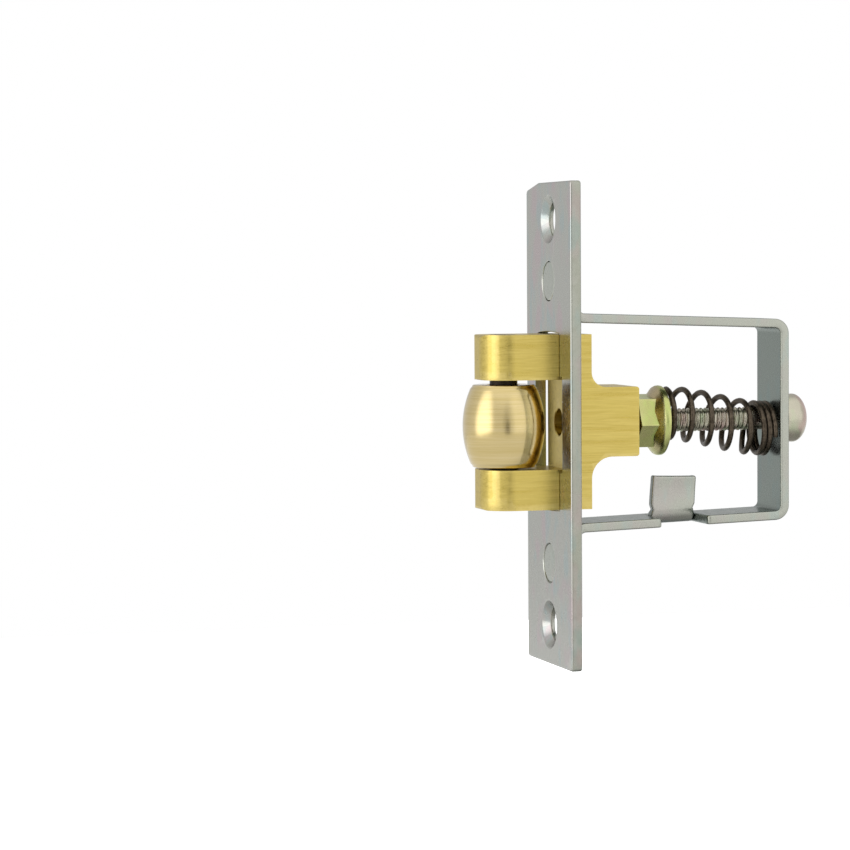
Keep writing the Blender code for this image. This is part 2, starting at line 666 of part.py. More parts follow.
def coil_points():
    """Centre line of the spring: closed turns at both ends, open turns between."""
    start_x = SPRING_FRONT_X + WIRE_DIAMETER / 2
    end_x = SPRING_REAR_X - WIRE_DIAMETER / 2
    closed_length = (CLOSED_TURNS_FRONT + CLOSED_TURNS_REAR) * CLOSED_PITCH
    open_pitch = (end_x - start_x - closed_length) / OPEN_TURNS
    turns = CLOSED_TURNS_FRONT + OPEN_TURNS + CLOSED_TURNS_REAR
    radius = (SPRING_DIAMETER - WIRE_DIAMETER) / 2
    count = round(turns * COIL_STEPS)
    points = []
    for step in range(count + 1):
        turn = turns * step / count
        front = min(turn, CLOSED_TURNS_FRONT)
        opened = min(max(turn - CLOSED_TURNS_FRONT, 0.0), OPEN_TURNS)
        rear = max(turn - CLOSED_TURNS_FRONT - OPEN_TURNS, 0.0)
        x = start_x + (front + rear) * CLOSED_PITCH + opened * open_pitch
        along = (x - start_x) / (end_x - start_x)
        sag = SPRING_FRONT_RISE - (SPRING_FRONT_RISE + SPRING_REAR_SAG) * along
        angle = 2 * pi * turn
        lean = COIL_LEAN * sin(pi * opened / OPEN_TURNS) * cos(angle)
        points.append(Vector((x + lean, -radius * sin(angle), radius * cos(angle) + sag)))
    return points


def build_spring(material):
    """Sweep the round wire along the coil."""
    bm = bmesh.new()
    points = coil_points()
    rings = []
    for index, point in enumerate(points):
        before = points[max(index - 1, 0)]
        after = points[min(index + 1, len(points) - 1)]
        tangent = (after - before).normalized()
        across = tangent.cross(Vector((1.0, 0.0, 0.0))).normalized()
        along = across.cross(tangent)
        ring = []
        for side in range(WIRE_SIDES):
            angle = 2 * pi * (side + 0.5) / WIRE_SIDES
            offset = across * cos(angle) + along * sin(angle)
            ring.append(bm.verts.new(point + offset * WIRE_DIAMETER / 2))
        rings.append(ring)
    for ring, following in zip(rings, rings[1:]):
        for side in range(WIRE_SIDES):
            after = (side + 1) % WIRE_SIDES
            bm.faces.new((ring[side], ring[after], following[after], following[side]))
    bm.faces.new(rings[0])
    bm.faces.new(rings[-1])
    return finish(make_object("spring", bm, (SPRING_REAR_X, 0.0, 0.0)), material, WIRE_SHARP_ANGLE)


def main():
    clear_scene()
    zinc = make_material("bright_zinc", (0.56, 0.57, 0.57), 0.32, 1.0)
    zinc_rivet = make_material("rivet_zinc", (0.58, 0.58, 0.55), 0.35, 1.0)
    brushed_brass = make_material("brushed_brass", (0.72, 0.55, 0.22), 0.34, 1.0)
    turned_brass = make_material("turned_brass", (0.80, 0.66, 0.40), 0.20, 1.0)
    black_steel = make_material("black_steel", (0.03, 0.025, 0.02), 0.45, 0.8)
    yellow_zinc = make_material("yellow_zinc", (0.56, 0.52, 0.28), 0.28, 1.0)
    zinc_screw = make_material("screw_zinc", (0.58, 0.54, 0.47), 0.32, 1.0)
    spring_steel = make_material("spring_steel", (0.06, 0.045, 0.035), 0.40, 0.9)

    build_forend(zinc)
    build_frame(zinc)
    build_rivet("upper", 1, zinc_rivet)
    build_rivet("lower", -1, zinc_rivet)
    build_carrier(brushed_brass)
    build_roller(turned_brass)
    build_pin(black_steel)
    build_screw(zinc_screw)
    build_nut(yellow_zinc)
    build_spring(spring_steel)


main()
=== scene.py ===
"""Roller catch for a door edge, dressed: plated steel, brushed and turned brass, a dark spring."""

from math import cos, pi, radians, sin, sqrt, tan

import bmesh
import bpy
from mathutils import Matrix, Vector


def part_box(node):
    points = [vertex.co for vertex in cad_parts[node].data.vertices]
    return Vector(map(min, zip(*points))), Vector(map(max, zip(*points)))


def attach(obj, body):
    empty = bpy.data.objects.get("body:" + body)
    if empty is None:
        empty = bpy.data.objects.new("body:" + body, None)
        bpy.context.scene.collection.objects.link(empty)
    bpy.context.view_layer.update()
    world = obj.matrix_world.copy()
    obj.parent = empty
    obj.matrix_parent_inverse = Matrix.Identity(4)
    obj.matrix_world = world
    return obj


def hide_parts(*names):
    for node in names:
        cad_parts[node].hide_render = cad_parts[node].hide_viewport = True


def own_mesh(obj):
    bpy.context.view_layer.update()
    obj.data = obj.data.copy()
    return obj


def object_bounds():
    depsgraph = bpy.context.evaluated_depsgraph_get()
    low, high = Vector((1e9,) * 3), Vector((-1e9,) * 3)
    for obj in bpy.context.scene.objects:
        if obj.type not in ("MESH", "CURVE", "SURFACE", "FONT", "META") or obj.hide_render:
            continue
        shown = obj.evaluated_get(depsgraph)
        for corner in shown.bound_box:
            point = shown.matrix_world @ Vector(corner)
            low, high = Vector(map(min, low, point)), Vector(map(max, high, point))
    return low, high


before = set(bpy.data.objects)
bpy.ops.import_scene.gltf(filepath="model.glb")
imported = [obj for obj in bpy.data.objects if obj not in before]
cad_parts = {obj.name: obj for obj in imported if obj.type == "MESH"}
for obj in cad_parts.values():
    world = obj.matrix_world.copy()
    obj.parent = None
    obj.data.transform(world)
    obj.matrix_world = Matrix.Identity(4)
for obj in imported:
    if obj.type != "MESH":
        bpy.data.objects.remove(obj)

CAD_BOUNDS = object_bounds()
MM = 0.001

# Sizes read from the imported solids
PLATE_LOW, PLATE_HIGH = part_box("forend")
STRAP_LOW, STRAP_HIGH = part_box("frame")
RIVET_LOW, RIVET_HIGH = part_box("rivet_upper")
FORK_LOW, FORK_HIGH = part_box("roller_carrier")
ROLLER_LOW, ROLLER_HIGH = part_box("roller")
PIN_LOW, PIN_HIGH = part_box("roller_pin")
SCREW_LOW, SCREW_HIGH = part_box("adjusting_screw")
NUT_LOW, NUT_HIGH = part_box("flange_nut")
SPRING_LOW, SPRING_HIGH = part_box("spring")

# Gap between pieces that fit into each other
FIT_GAP = 0.3 * MM

# Width of the flat band beside a rounded edge that keeps the shading of the flat clean
SUPPORT = 0.15 * MM

# Face plate
SCREW_HOLE_Z = PLATE_HIGH.z - 6.4 * MM
SCREW_HOLE_RADIUS = 2.95 * MM
COUNTERSINK_RADIUS = 4.1 * MM
PLATE_CORNER_RADIUS = 0.6 * MM
PLATE_FRONT_ROUND = 0.34 * MM
PLATE_BACK_ROUND = 0.4 * MM
CORNER_CUT_WIDTH = 6.6 * MM
CORNER_CUT_HEIGHT = 1.2 * MM
CORNER_CUT_ROUND = 0.8 * MM
PLATE_GRID = 1.5 * MM

# Window in the face plate
WINDOW_END_GAP = 0.12 * MM
WINDOW_ROLLER_GAP = 0.5 * MM
WINDOW_ARCH = 0.28 * MM
WINDOW_CORNER = 0.3 * MM
WINDOW_ROUND = 0.12 * MM

# Rivets
RIVET_Z = (RIVET_LOW.z + RIVET_HIGH.z) / 2
RIVET_SEAT_RADIUS = (RIVET_HIGH.z - RIVET_LOW.z) / 2 + FIT_GAP
RIVET_SEAT_CHAMFER = 0.12 * MM
RIVET_HEAD_RADIUS = RIVET_SEAT_RADIUS - 0.13 * MM
RIVET_SHANK_RADIUS = 2.0 * MM
RIVET_TAIL_RADIUS = 3.1 * MM
RIVET_TAIL_EDGE = 0.12 * MM

# Strap frame: the bends' radius is that of the strap's middle line
STRAP_HALF_WIDTH = STRAP_HIGH.y
STRAP_THICKNESS = 1.6 * MM
BEND_RADIUS = 1.8 * MM
BEND_LENGTH = BEND_RADIUS * pi / 2
BRIDGE_HALF_HEIGHT = 17.6 * MM
LEG_Z = BRIDGE_HALF_HEIGHT - STRAP_THICKNESS / 2
LEG_LEAN = radians(2.0)
STRAP_EDGE_ROUND = 0.3 * MM
STRAP_CORNER_RADIUS = 0.6 * MM
STRAP_GRID = 2.0 * MM
REAR_BEND_X = STRAP_HIGH.x - STRAP_THICKNESS / 2 - BEND_RADIUS
FOOT_BEND_X = STRAP_LOW.x + STRAP_THICKNESS / 2 + BEND_RADIUS

# Lengths along the strap's middle line, from the bridge's middle, where each stretch starts or ends
BRIDGE_END = LEG_Z - BEND_RADIUS
LEG_START = BRIDGE_END + BEND_LENGTH
LEG_END = LEG_START + REAR_BEND_X - FOOT_BEND_X
FOOT_START = LEG_END + BEND_LENGTH

# Stop tab, cut free from the lower leg and folded up; its front edge leans the same way as its rear one
TAB_FRONT = -(LEG_START + REAR_BEND_X - 16.9 * MM)
TAB_REAR = -(LEG_START + REAR_BEND_X - 25.0 * MM)
TAB_ROOT_Y = 3.0 * MM
TAB_RELIEF = 0.1 * MM
TAB_TRIM = 0.2 * MM
TAB_CORNER = 0.5 * MM
NOTCH_CORNER = 0.7 * MM
NOTCH_ROOT_CORNER = 0.03 * MM
TAB_NECK = 0.35 * MM
TAB_NECK_REACH = 0.8 * MM
TAB_SPREAD = 0.3 * MM
TAB_SPREAD_REACH = 5.0 * MM
TAB_FRONT_SPREAD = -1.4
TAB_BOW = 0.14 * MM
TAB_HORN = 0.2 * MM
TAB_SLANT = 0.24 * MM

# Fork that carries the roller
GAP_BOTTOM = ROLLER_LOW.z - FIT_GAP
GAP_TOP = ROLLER_HIGH.z + 0.85 * MM
FORK_HALF_WIDTH = FORK_HIGH.y
NOSE_RADIUS = FORK_HALF_WIDTH - 1.0 * MM
NOSE_CORNER = 0.7 * MM
GAP_CORNER = 0.35 * MM
WEB_X = -0.2 * MM
SHOULDER_X = WEB_X + 4.1 * MM
STEM_TOP = 6.2 * MM
STEM_BOTTOM = -5.8 * MM
STEM_TOP_FILLET = 2.6 * MM
STEM_BOTTOM_FILLET = 3.7 * MM
STEM_END_CORNER = 0.5 * MM
FORK_EDGE_ROUND = 0.16 * MM
FORK_GRID = 1.2 * MM
WEB_BORE_CHAMFER = 1.15 * MM
WEB_BORE_DEPTH = 1.6 * MM

# Roller and its pin
PIN_X = (PIN_LOW.x + PIN_HIGH.x) / 2
PIN_RADIUS = PIN_HIGH.x - PIN_X
PIN_CHAMFER = 0.35 * MM
ROLLER_CROWN = 1.65 * MM
ROLLER_EDGE = 0.35 * MM
ROLLER_BORE_GAP = 0.25 * MM
ROLLER_BORE_CHAMFER = 0.25 * MM

# Screw
THREAD_PITCH = 0.8 * MM
THREAD_DEPTH = 0.22 * MM
THREAD_RADIUS = 2.05 * MM
THREAD_END_X = 34.9 * MM
THREAD_CREST = 0.12
THREAD_SIDES = 40
RINGS_PER_PITCH = 12
SCREW_TIP_CHAMFER = 0.7 * MM
SCREW_NECK_CHAMFER = 0.5 * MM
HEAD_X = 40.6 * MM
HEAD_RIM = 2.4 * MM
HEAD_CHAMFER = 0.25 * MM

# Cross recess, first over the head and then at its floor: height over the top, half length, half width
RECESS = ((1.0 * MM, 2.6 * MM, 0.62 * MM), (-2.0 * MM, 0.9 * MM, 0.42 * MM))

# Flange nut
NUT_HALF_FLATS = 4.25 * MM
NUT_TURN = radians(8.0)
NUT_FLANGE_DEPTH = 1.8 * MM
NUT_EDGE_ROUND = 0.12 * MM
NUT_COLLAR_RADIUS = NUT_HALF_FLATS - 0.6 * MM
NUT_COLLAR_LENGTH = 0.5 * MM

# Spring
WIRE_RADIUS = 0.5 * MM
WIRE_SIDES = 14
STEPS_PER_TURN = 56
CLOSED_TURNS_FRONT = 0.3
OPEN_TURNS = 4.45
CLOSED_TURNS_REAR = 2.55
CLOSED_PITCH = 1.02 * MM
SPRING_MEAN_RADIUS = 4.26 * MM
SPRING_FRONT_RISE = 1.2 * MM
SPRING_REAR_SAG = 1.75 * MM
SPRING_REAR_REACH = 0.25 * MM
SPRING_REAR_GROWTH = 0.12 * MM
SPRING_REAR_SHIFT = 0.5 * MM
COIL_LEAN = 0.62 * MM
COIL_LAG = 0.2 * MM
LEAN_IN_TURNS = 0.4
LEAN_OUT_TURNS = 0.2

# Camera: its angles are yaw, pitch and roll in degrees
CAMERA_PLACE = (-0.17346, -0.53857, 0.0281)
CAMERA_ANGLES = (15.492, -2.881, -0.346)
CAMERA_LENS = 138.45

# Light of the room: an even level, and soft patches that raise or lower it
# Each patch has its direction, inner and outer angle in degrees, squeeze and strength
ROOM_LEVEL = 0.80
ROOM_PATCHES = (
    ((-0.97, -0.25, -0.02), 8.0, 34.0, 0.6, 1.25),
    ((-0.1, -0.3, 1.0), 25.0, 60.0, 1.0, 0.30),
    ((0.45, -0.88, 0.1), 14.0, 40.0, 1.0, 0.34),
    ((-0.45, 0.9, 0.25), 15.0, 45.0, 1.0, -0.09),
    ((-0.08, -0.995, -0.05), 2.0, 8.0, 0.4, -0.35),
    ((-0.04, -0.995, -0.03), 4.0, 20.0, 0.5, -0.28),
    ((0.25, 0.75, 0.6), 10.0, 50.0, 1.0, -0.22),
)

# Floor, with painted shade: its colour is darker around a place under the part, standing in for the part's
# shadow
FLOOR_Z = CAD_BOUNDS[0].z - 0.05
FLOOR_REACH = 0.5
SHADE_PLACE = (0.06, 0.05, FLOOR_Z)
SHADE_INNER, SHADE_OUTER = 0.05, 0.17
SHADE_LEVEL, FLOOR_LEVEL = 0.34, 0.90


def set_sockets(tree, target, values):
    """Give a node's inputs their values: numbers, colours or other nodes' outputs."""
    for key, value in values.items():
        if isinstance(value, bpy.types.NodeSocket):
            tree.links.new(value, target.inputs[key])
        else:
            target.inputs[key].default_value = value


def add_node(tree, kind, sockets=None, **settings):
    """Add a shader node with its settings and its inputs' values."""
    made = tree.nodes.new(kind)
    for key, value in settings.items():
        setattr(made, key, value)
    set_sockets(tree, made, sockets or {})
    return made


def arithmetic(tree, operation, first, second=0.0, third=0.0):
    """A Math node's output."""
    sockets = {0: first, 1: second, 2: third}
    return add_node(tree, "ShaderNodeMath", sockets, operation=operation).outputs[0]


def vector_arithmetic(tree, operation, first, second=(0.0, 0.0, 0.0)):
    """A Vector Math node's output."""
    made = add_node(tree, "ShaderNodeVectorMath", {0: first, 1: second}, operation=operation)
    return made.outputs["Value" if operation in ("DOT_PRODUCT", "DISTANCE") else "Vector"]


def blend_colour(tree, share, first, second, blend_type="MIX"):
    """A colour Mix node's output."""
    sockets = {0: share, 6: first, 7: second}
    made = add_node(tree, "ShaderNodeMix", sockets, data_type="RGBA", blend_type=blend_type)
    return made.outputs[2]


def grey(tree, level):
    """A colour with one level in its three channels."""
    return add_node(tree, "ShaderNodeCombineColor", {0: level, 1: level, 2: level}).outputs[0]


def rescale(tree, value, low, high, new_low=0.0, new_high=1.0, kind="SMOOTHSTEP"):
    """A Map Range node's output, clamped."""
    sockets = {0: value, 1: low, 2: high, 3: new_low, 4: new_high}
    return add_node(tree, "ShaderNodeMapRange", sockets, interpolation_type=kind).outputs[0]


def stretched(tree, position, stretch):
    """Coordinates scaled along each axis: a small stretch makes long marks along it."""
    return add_node(tree, "ShaderNodeMapping", {"Vector": position, "Scale": stretch}).outputs[0]


def noise(tree, position, scale, detail, roughness):
    """A Noise node's value."""
    sockets = {"Vector": position, "Scale": scale, "Detail": detail, "Roughness": roughness}
    return add_node(tree, "ShaderNodeTexNoise", sockets).outputs["Fac"]


def weighted_sum(tree, first, first_weight, second, second_weight):
    """Two values added up, each times its weight."""
    part = arithmetic(tree, "MULTIPLY", second, second_weight)
    return arithmetic(tree, "MULTIPLY_ADD", first, first_weight, part)


def spread_about(tree, value, spread, middle):
    """A value around one half, made to spread around another middle."""
    return arithmetic(tree, "MULTIPLY_ADD", arithmetic(tree, "SUBTRACT", value, 0.5), spread, middle)


def start_group(name, inputs, outputs):
    """A shader node group with named sockets: its tree, its inputs and its output node."""
    tree = bpy.data.node_groups.new(name, "ShaderNodeTree")
    for direction, sockets in (("INPUT", inputs), ("OUTPUT", outputs)):
        for socket_name, kind in sockets.items():
            tree.interface.new_socket(socket_name, in_out=direction, socket_type="NodeSocket" + kind)
    entry = tree.nodes.new("NodeGroupInput")
    return tree, entry.outputs, tree.nodes.new("NodeGroupOutput")


def make_plating_group():
    """Zinc plating: cloudy grey with faint interference tints, small specks and scuffs."""
    tree, entry, leave = start_group(
        "plating",
        {
            "Position": "Vector",
            "Ground": "Color",
            "Warm Tint": "Color",
            "Cool Tint": "Color",
            "Tint": "Float",
            "Speckle": "Float",
            "Roughness": "Float",
        },
        {"Color": "Color", "Roughness": "Float", "Height": "Float"},
    )
    position = entry["Position"]
    cloud = noise(tree, stretched(tree, position, (1.0, 1.0, 0.6)), scale=190.0, detail=2.0, roughness=0.5)
    band = noise(tree, stretched(tree, position, (1.0, 1.0, 0.35)), scale=330.0, detail=3.0, roughness=0.55)
    fine = noise(tree, position, scale=2600.0, detail=4.0, roughness=0.7)
    mottle = noise(tree, position, scale=900.0, detail=3.0, roughness=0.6)
    warm_share = arithmetic(tree, "MULTIPLY", rescale(tree, cloud, 0.48, 0.66), entry["Tint"])
    cool_share = arithmetic(tree, "MULTIPLY", rescale(tree, band, 0.50, 0.66), entry["Tint"])
    tinted = blend_colour(tree, warm_share, entry["Ground"], entry["Warm Tint"])
    tinted = blend_colour(tree, cool_share, tinted, entry["Cool Tint"])
    grain = weighted_sum(tree, fine, 0.5, mottle, 0.5)
    level = spread_about(tree, grain, arithmetic(tree, "MULTIPLY", entry["Speckle"], 2.0), 1.0)
    results = {
        "Color": blend_colour(tree, 1.0, tinted, grey(tree, level), "MULTIPLY"),
        "Roughness": spread_about(tree, mottle, 0.25, entry["Roughness"]),
        "Height": grain,
    }
    set_sockets(tree, leave, results)
    return tree


def make_brush_group():
    """Fine marks, drawn out by the stretch of the position."""
    tree, entry, leave = start_group(
        "brush_marks",
        {"Position": "Vector", "Dark": "Color", "Light": "Color", "Roughness": "Float", "Spread": "Float"},
        {"Color": "Color", "Roughness": "Float", "Height": "Float"},
    )
    coarse = noise(tree, entry["Position"], scale=1500.0, detail=2.0, roughness=0.5)
    fine = noise(tree, entry["Position"], scale=5200.0, detail=3.0, roughness=0.6)
    marks = weighted_sum(tree, coarse, 0.45, fine, 0.55)
    share = rescale(tree, marks, 0.36, 0.64, kind="LINEAR")
    results = {
        "Color": blend_colour(tree, share, entry["Dark"], entry["Light"]),
        "Roughness": spread_about(tree, share, entry["Spread"], entry["Roughness"]),
        "Height": share,
    }
    set_sockets(tree, leave, results)
    return tree


def make_edge_group():
    """Bare, brighter metal where an edge has been rubbed, broken up by noise, and a darker colour in hollows.
    """
    tree, entry, leave = start_group(
        "rubbed_edges",
        {"Color": "Color", "Bare": "Color", "Pointiness": "Float", "Position": "Vector", "Amount": "Float"},
        {"Color": "Color"},
    )
    edge = rescale(tree, entry["Pointiness"], 0.505, 0.56)
    patchy = noise(tree, entry["Position"], scale=700.0, detail=3.0, roughness=0.6)
    mask = arithmetic(tree, "MULTIPLY", edge, rescale(tree, patchy, 0.3, 0.6, 0.35, 1.0, "LINEAR"))
    mask = arithmetic(tree, "MULTIPLY", mask, entry["Amount"])
    # Hollows, where pointiness falls below one half, are darkened towards a near black
    hollow_darkening = rescale(tree, entry["Pointiness"], 0.44, 0.495, 0.3, 0.0)
    bare = blend_colour(tree, mask, entry["Color"], entry["Bare"])
    set_sockets(tree, leave, {"Color": blend_colour(tree, hollow_darkening, bare, (0.05, 0.04, 0.03, 1.0))})
    return tree


PLATING = make_plating_group()
BRUSH_MARKS = make_brush_group()
RUBBED_EDGES = make_edge_group()


def start_material(name):
    """An empty node material: itself, its tree and the object's position."""
    material = bpy.data.materials.new(name)
    material.use_nodes = True
    tree = material.node_tree
    return material, tree, add_node(tree, "ShaderNodeTexCoord").outputs["Object"]


def rub_edges(tree, colour, bare, position, amount):
    """A colour with its sharp edges rubbed to bare metal."""
    pointiness = add_node(tree, "ShaderNodeNewGeometry").outputs["Pointiness"]
    sockets = {
        "Color": colour,
        "Bare": (*bare, 1.0),
        "Pointiness": pointiness,
        "Position": position,
        "Amount": amount,
    }
    return add_node(tree, "ShaderNodeGroup", sockets, node_tree=RUBBED_EDGES).outputs["Color"]


def finish_metal(tree, colour, surface, strength, depth, metallic=1.0):
    """Feed colour, roughness and a fine relief to the material's shader."""
    relief = {"Height": surface["Height"], "Strength": strength, "Distance": depth}
    sockets = {
        "Base Color": colour,
        "Roughness": surface["Roughness"],
        "Metallic": metallic,
        "Normal": add_node(tree, "ShaderNodeBump", relief).outputs["Normal"],
    }
    set_sockets(tree, tree.nodes["Principled BSDF"], sockets)


def plated_metal(
    name, ground, warm, cool, tint, speckle, roughness, flat_axis=0, painted_light_by_facing=(1.0, 1.0, 1.0), rubbed=0.5
):
    """A plated steel finish; the faces that don't look along the flat axis take a painted tint of light and
    shade.
    """
    material, tree, position = start_material(name)
    sockets = {
        "Position": position,
        "Ground": (*ground, 1.0),
        "Warm Tint": (*warm, 1.0),
        "Cool Tint": (*cool, 1.0),
        "Tint": tint,
        "Speckle": speckle,
        "Roughness": roughness,
    }
    plating = add_node(tree, "ShaderNodeGroup", sockets, node_tree=PLATING).outputs
    normal = add_node(tree, "ShaderNodeTexCoord").outputs["Normal"]
    facing = add_node(tree, "ShaderNodeSeparateXYZ", {0: normal}).outputs[flat_axis]
    # Painted light and shade: faces turned away from the flat axis are tinted by which way they look
    facing_painted_share = rescale(tree, arithmetic(tree, "ABSOLUTE", facing), 0.35, 0.75, 1.0, 0.0)
    colour = blend_colour(tree, facing_painted_share, plating["Color"], (*painted_light_by_facing, 1.0), "MULTIPLY")
    bare = [min(channel * 1.25, 1.0) for channel in ground]
    finish_metal(tree, rub_edges(tree, colour, bare, position, rubbed), plating, 0.15, 0.03 * MM)
    return material


def marked_metal(tree, position, stretch, dark, light, roughness, spread):
    """Marked metal's colour, roughness and height, as a group's outputs."""
    sockets = {
        "Position": stretched(tree, position, stretch),
        "Dark": (*dark, 1.0),
        "Light": (*light, 1.0),
        "Roughness": roughness,
        "Spread": spread,
    }
    return add_node(tree, "ShaderNodeGroup", sockets, node_tree=BRUSH_MARKS).outputs


def brushed_brass():
    """The fork's finish: golden brass, filed along its length."""
    material, tree, position = start_material("brushed_brass")
    dark, light = (0.55, 0.42, 0.10), (0.72, 0.57, 0.17)
    marks = marked_metal(tree, position, (0.045, 0.5, 1.0), dark, light, 0.33, 0.12)
    cloud = noise(tree, stretched(tree, position, (0.5, 1.0, 1.0)), scale=260.0, detail=2.0, roughness=0.5)
    patina_share = rescale(tree, cloud, 0.45, 0.7, 0.0, 0.35)
    patina = blend_colour(tree, patina_share, marks["Color"], (0.66, 0.52, 0.13, 1.0))
    finish_metal(tree, rub_edges(tree, patina, (0.98, 0.80, 0.36), position, 0.25), marks, 0.35, 0.02 * MM)
    return material


def turned_brass():
    """The roller's finish: paler brass, turned to fine rings and polished."""
    material, tree, position = start_material("turned_brass")
    dark, light = (0.62, 0.48, 0.18), (0.73, 0.585, 0.29)
    marks = marked_metal(tree, position, (0.02, 0.02, 1.0), dark, light, 0.17, 0.06)
    edges = rub_edges(tree, marks["Color"], (0.98, 0.88, 0.60), position, 0.3)
    finish_metal(tree, edges, marks, 0.12, 0.01 * MM)
    polish = {"Coat Weight": 0.8, "Coat Roughness": 0.12}
    set_sockets(tree, tree.nodes["Principled BSDF"], polish)
    return material


def dark_steel(name, dark, light, roughness):
    """Blackened steel with a brown cast."""
    material, tree, position = start_material(name)
    marks = marked_metal(tree, position, (0.6, 0.6, 0.6), dark, light, roughness, 0.18)
    finish_metal(tree, marks["Color"], marks, 0.2, 0.02 * MM, metallic=0.85)
    return material


# The plate's rim, window and hole walls are darker: painted shade by which way the faces look
ZINC_PLATE = plated_metal(
    "zinc_plate", (0.46, 0.465, 0.425), (0.50, 0.42, 0.43), (0.39, 0.465, 0.455), 0.8, 0.16, 0.24,
    painted_light_by_facing=(0.75, 0.76, 0.68),
)
# The strap's rolled faces are darker and bluer than its cut edges and tab: painted shade by which way the
# faces look
ZINC_STRAP = plated_metal(
    "zinc_strap", (0.45, 0.46, 0.40), (0.46, 0.425, 0.40), (0.40, 0.47, 0.43), 0.6, 0.15, 0.28,
    flat_axis=1, painted_light_by_facing=(0.49, 0.56, 0.58), rubbed=0.0,
)
RIVET_ZINC = plated_metal(
    "rivet_zinc", (0.46, 0.48, 0.43), (0.50, 0.44, 0.41), (0.41, 0.48, 0.43), 0.6, 0.2, 0.30
)
# The nut's flats and flange take a greener, brighter tint than its ends: painted light by which way the faces
# look
YELLOW_ZINC = plated_metal(
    "yellow_zinc", (0.53, 0.48, 0.24), (0.50, 0.38, 0.25), (0.52, 0.55, 0.22), 0.6, 0.12, 0.26,
    painted_light_by_facing=(0.95, 1.18, 0.78),
)
SCREW_ZINC = plated_metal(
    "screw_zinc", (0.52, 0.49, 0.39), (0.56, 0.41, 0.37), (0.45, 0.51, 0.34), 1.0, 0.15, 0.28
)
BRUSHED_BRASS = brushed_brass()
TURNED_BRASS = turned_brass()
BLACK_STEEL = dark_steel("black_steel", (0.015, 0.012, 0.01), (0.05, 0.04, 0.03), 0.42)
SPRING_STEEL = dark_steel("spring_steel", (0.04, 0.03, 0.02), (0.14, 0.11, 0.078), 0.36)


def object_from(name, bm):
    """Turn a bmesh into an object whose place is in its mesh."""
    bmesh.ops.recalc_face_normals(bm, faces=bm.faces)
    mesh = bpy.data.meshes.new(name)
    bm.to_mesh(mesh)
    bm.free()
    piece = bpy.data.objects.new(name, mesh)
    bpy.context.scene.collection.objects.link(piece)
    return piece


def modify(piece, kind, **settings):
    """Change a piece's mesh by one modifier, applied at once."""
    modifier = piece.modifiers.new(kind.lower(), kind)
    for key, value in settings.items():
        setattr(modifier, key, value)
    bpy.context.view_layer.update()
    evaluated = piece.evaluated_get(bpy.context.evaluated_depsgraph_get())
    mesh = bpy.data.meshes.new_from_object(evaluated)
    piece.modifiers.clear()
    piece.data = mesh


def cut(piece, cutter_bm, operation="DIFFERENCE"):
    """Apply an exact Boolean at once and drop its cutter."""
    cutter = object_from("cutter", cutter_bm)
    modify(piece, "BOOLEAN", operation=operation, solver="EXACT", object=cutter)
    bpy.data.objects.remove(cutter)


def round_edges(piece, width, segments=3):
    """Round every edge sharper than 30 degrees."""
    limit = {"limit_method": "ANGLE", "angle_limit": radians(30.0)}
    modify(piece, "BEVEL", width=width, segments=segments, miter_outer="MITER_ARC", **limit)


def spaced(start, stop, steps):
    """Evenly spaced values, both ends included."""
    return [start + (stop - start) * step / steps for step in range(steps + 1)]


def bisect(bm, axis, place, tolerance=1e-6):
    """Cut a mesh in two where one coordinate has this value; both halves stay."""
    normal = Vector([float(index == axis) for index in range(3)])
    geometry = bm.verts[:] + bm.edges[:] + bm.faces[:]
    bmesh.ops.bisect_plane(bm, geom=geometry, plane_co=normal * place, plane_no=normal, dist=tolerance)


def slice_mesh(bm, spacing, axes=(0, 1, 2)):
    """Cut a grid into a mesh, so that values kept at its corners stay local; its form stays as it is."""
    for axis in axes:
        places = [vert.co[axis] for vert in bm.verts]
        low, high = min(places), max(places)
        for place in spaced(low, high, int((high - low) / spacing))[1:-1]:
            bisect(bm, axis, place)


def slice_piece(piece, spacing):
    """Cut a grid into a finished piece."""
    bm = bmesh.new()
    bm.from_mesh(piece.data)
    slice_mesh(bm, spacing)
    bm.to_mesh(piece.data)
    bm.free()


def dress(piece, material, body, slot, *nodes, sharp=radians(40.0)):
    """Shade a finished piece, give it its finish, and seat it on its body in place of its solids."""
    piece.data.materials.clear()
    piece.data.materials.append(material)
    piece.data.shade_smooth()
    piece.data.set_sharp_from_angle(angle=sharp)
    weighted = piece.modifiers.new("flat_faces_first", "WEIGHTED_NORMAL")
    weighted.keep_sharp = True
    weighted.weight = 90
    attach(piece, body)
    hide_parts(*nodes)


def arc(centre, radius, start, end, steps):
    """Points on a plane arc, both ends included."""
    angles = spaced(start, end, steps)
    return [(centre[0] + radius * cos(angle), centre[1] + radius * sin(angle)) for angle in angles]


def circle(centre, radius, count=64):
    """Points of a full circle, anticlockwise."""
    return arc(centre, radius, 0.0, 2 * pi * (count - 1) / count, count - 1)


def dome(radius, base, top, steps):
    """(radius, distance) points from a rim up to a crown on the axis."""
    angles = spaced(0.0, pi / 2, steps)[:-1]
    return [(radius * cos(angle), base + (top - base) * sin(angle)) for angle in angles] + [(0.0, top)]


def rounded(corners, steps=8):
    """An outline from (x, y, radius) corners, each corner with a radius turned into an arc."""
    points = []
    for index, (x, y, radius) in enumerate(corners):
        if radius <= 0.0:
            points.append((x, y))
            continue
        here = Vector((x, y))
        before = (Vector(corners[index - 1][:2]) - here).normalized()
        after = (Vector(corners[(index + 1) % len(corners)][:2]) - here).normalized()
        half = before.angle(after) / 2
        centre = here + (before + after).normalized() * (radius / sin(half))
        first = here + before * (radius / tan(half)) - centre
        last = here + after * (radius / tan(half)) - centre
        for turn in spaced(0.0, -first.angle_signed(last), steps):
            points.append(tuple(centre + Matrix.Rotation(turn, 2) @ first))
    return points


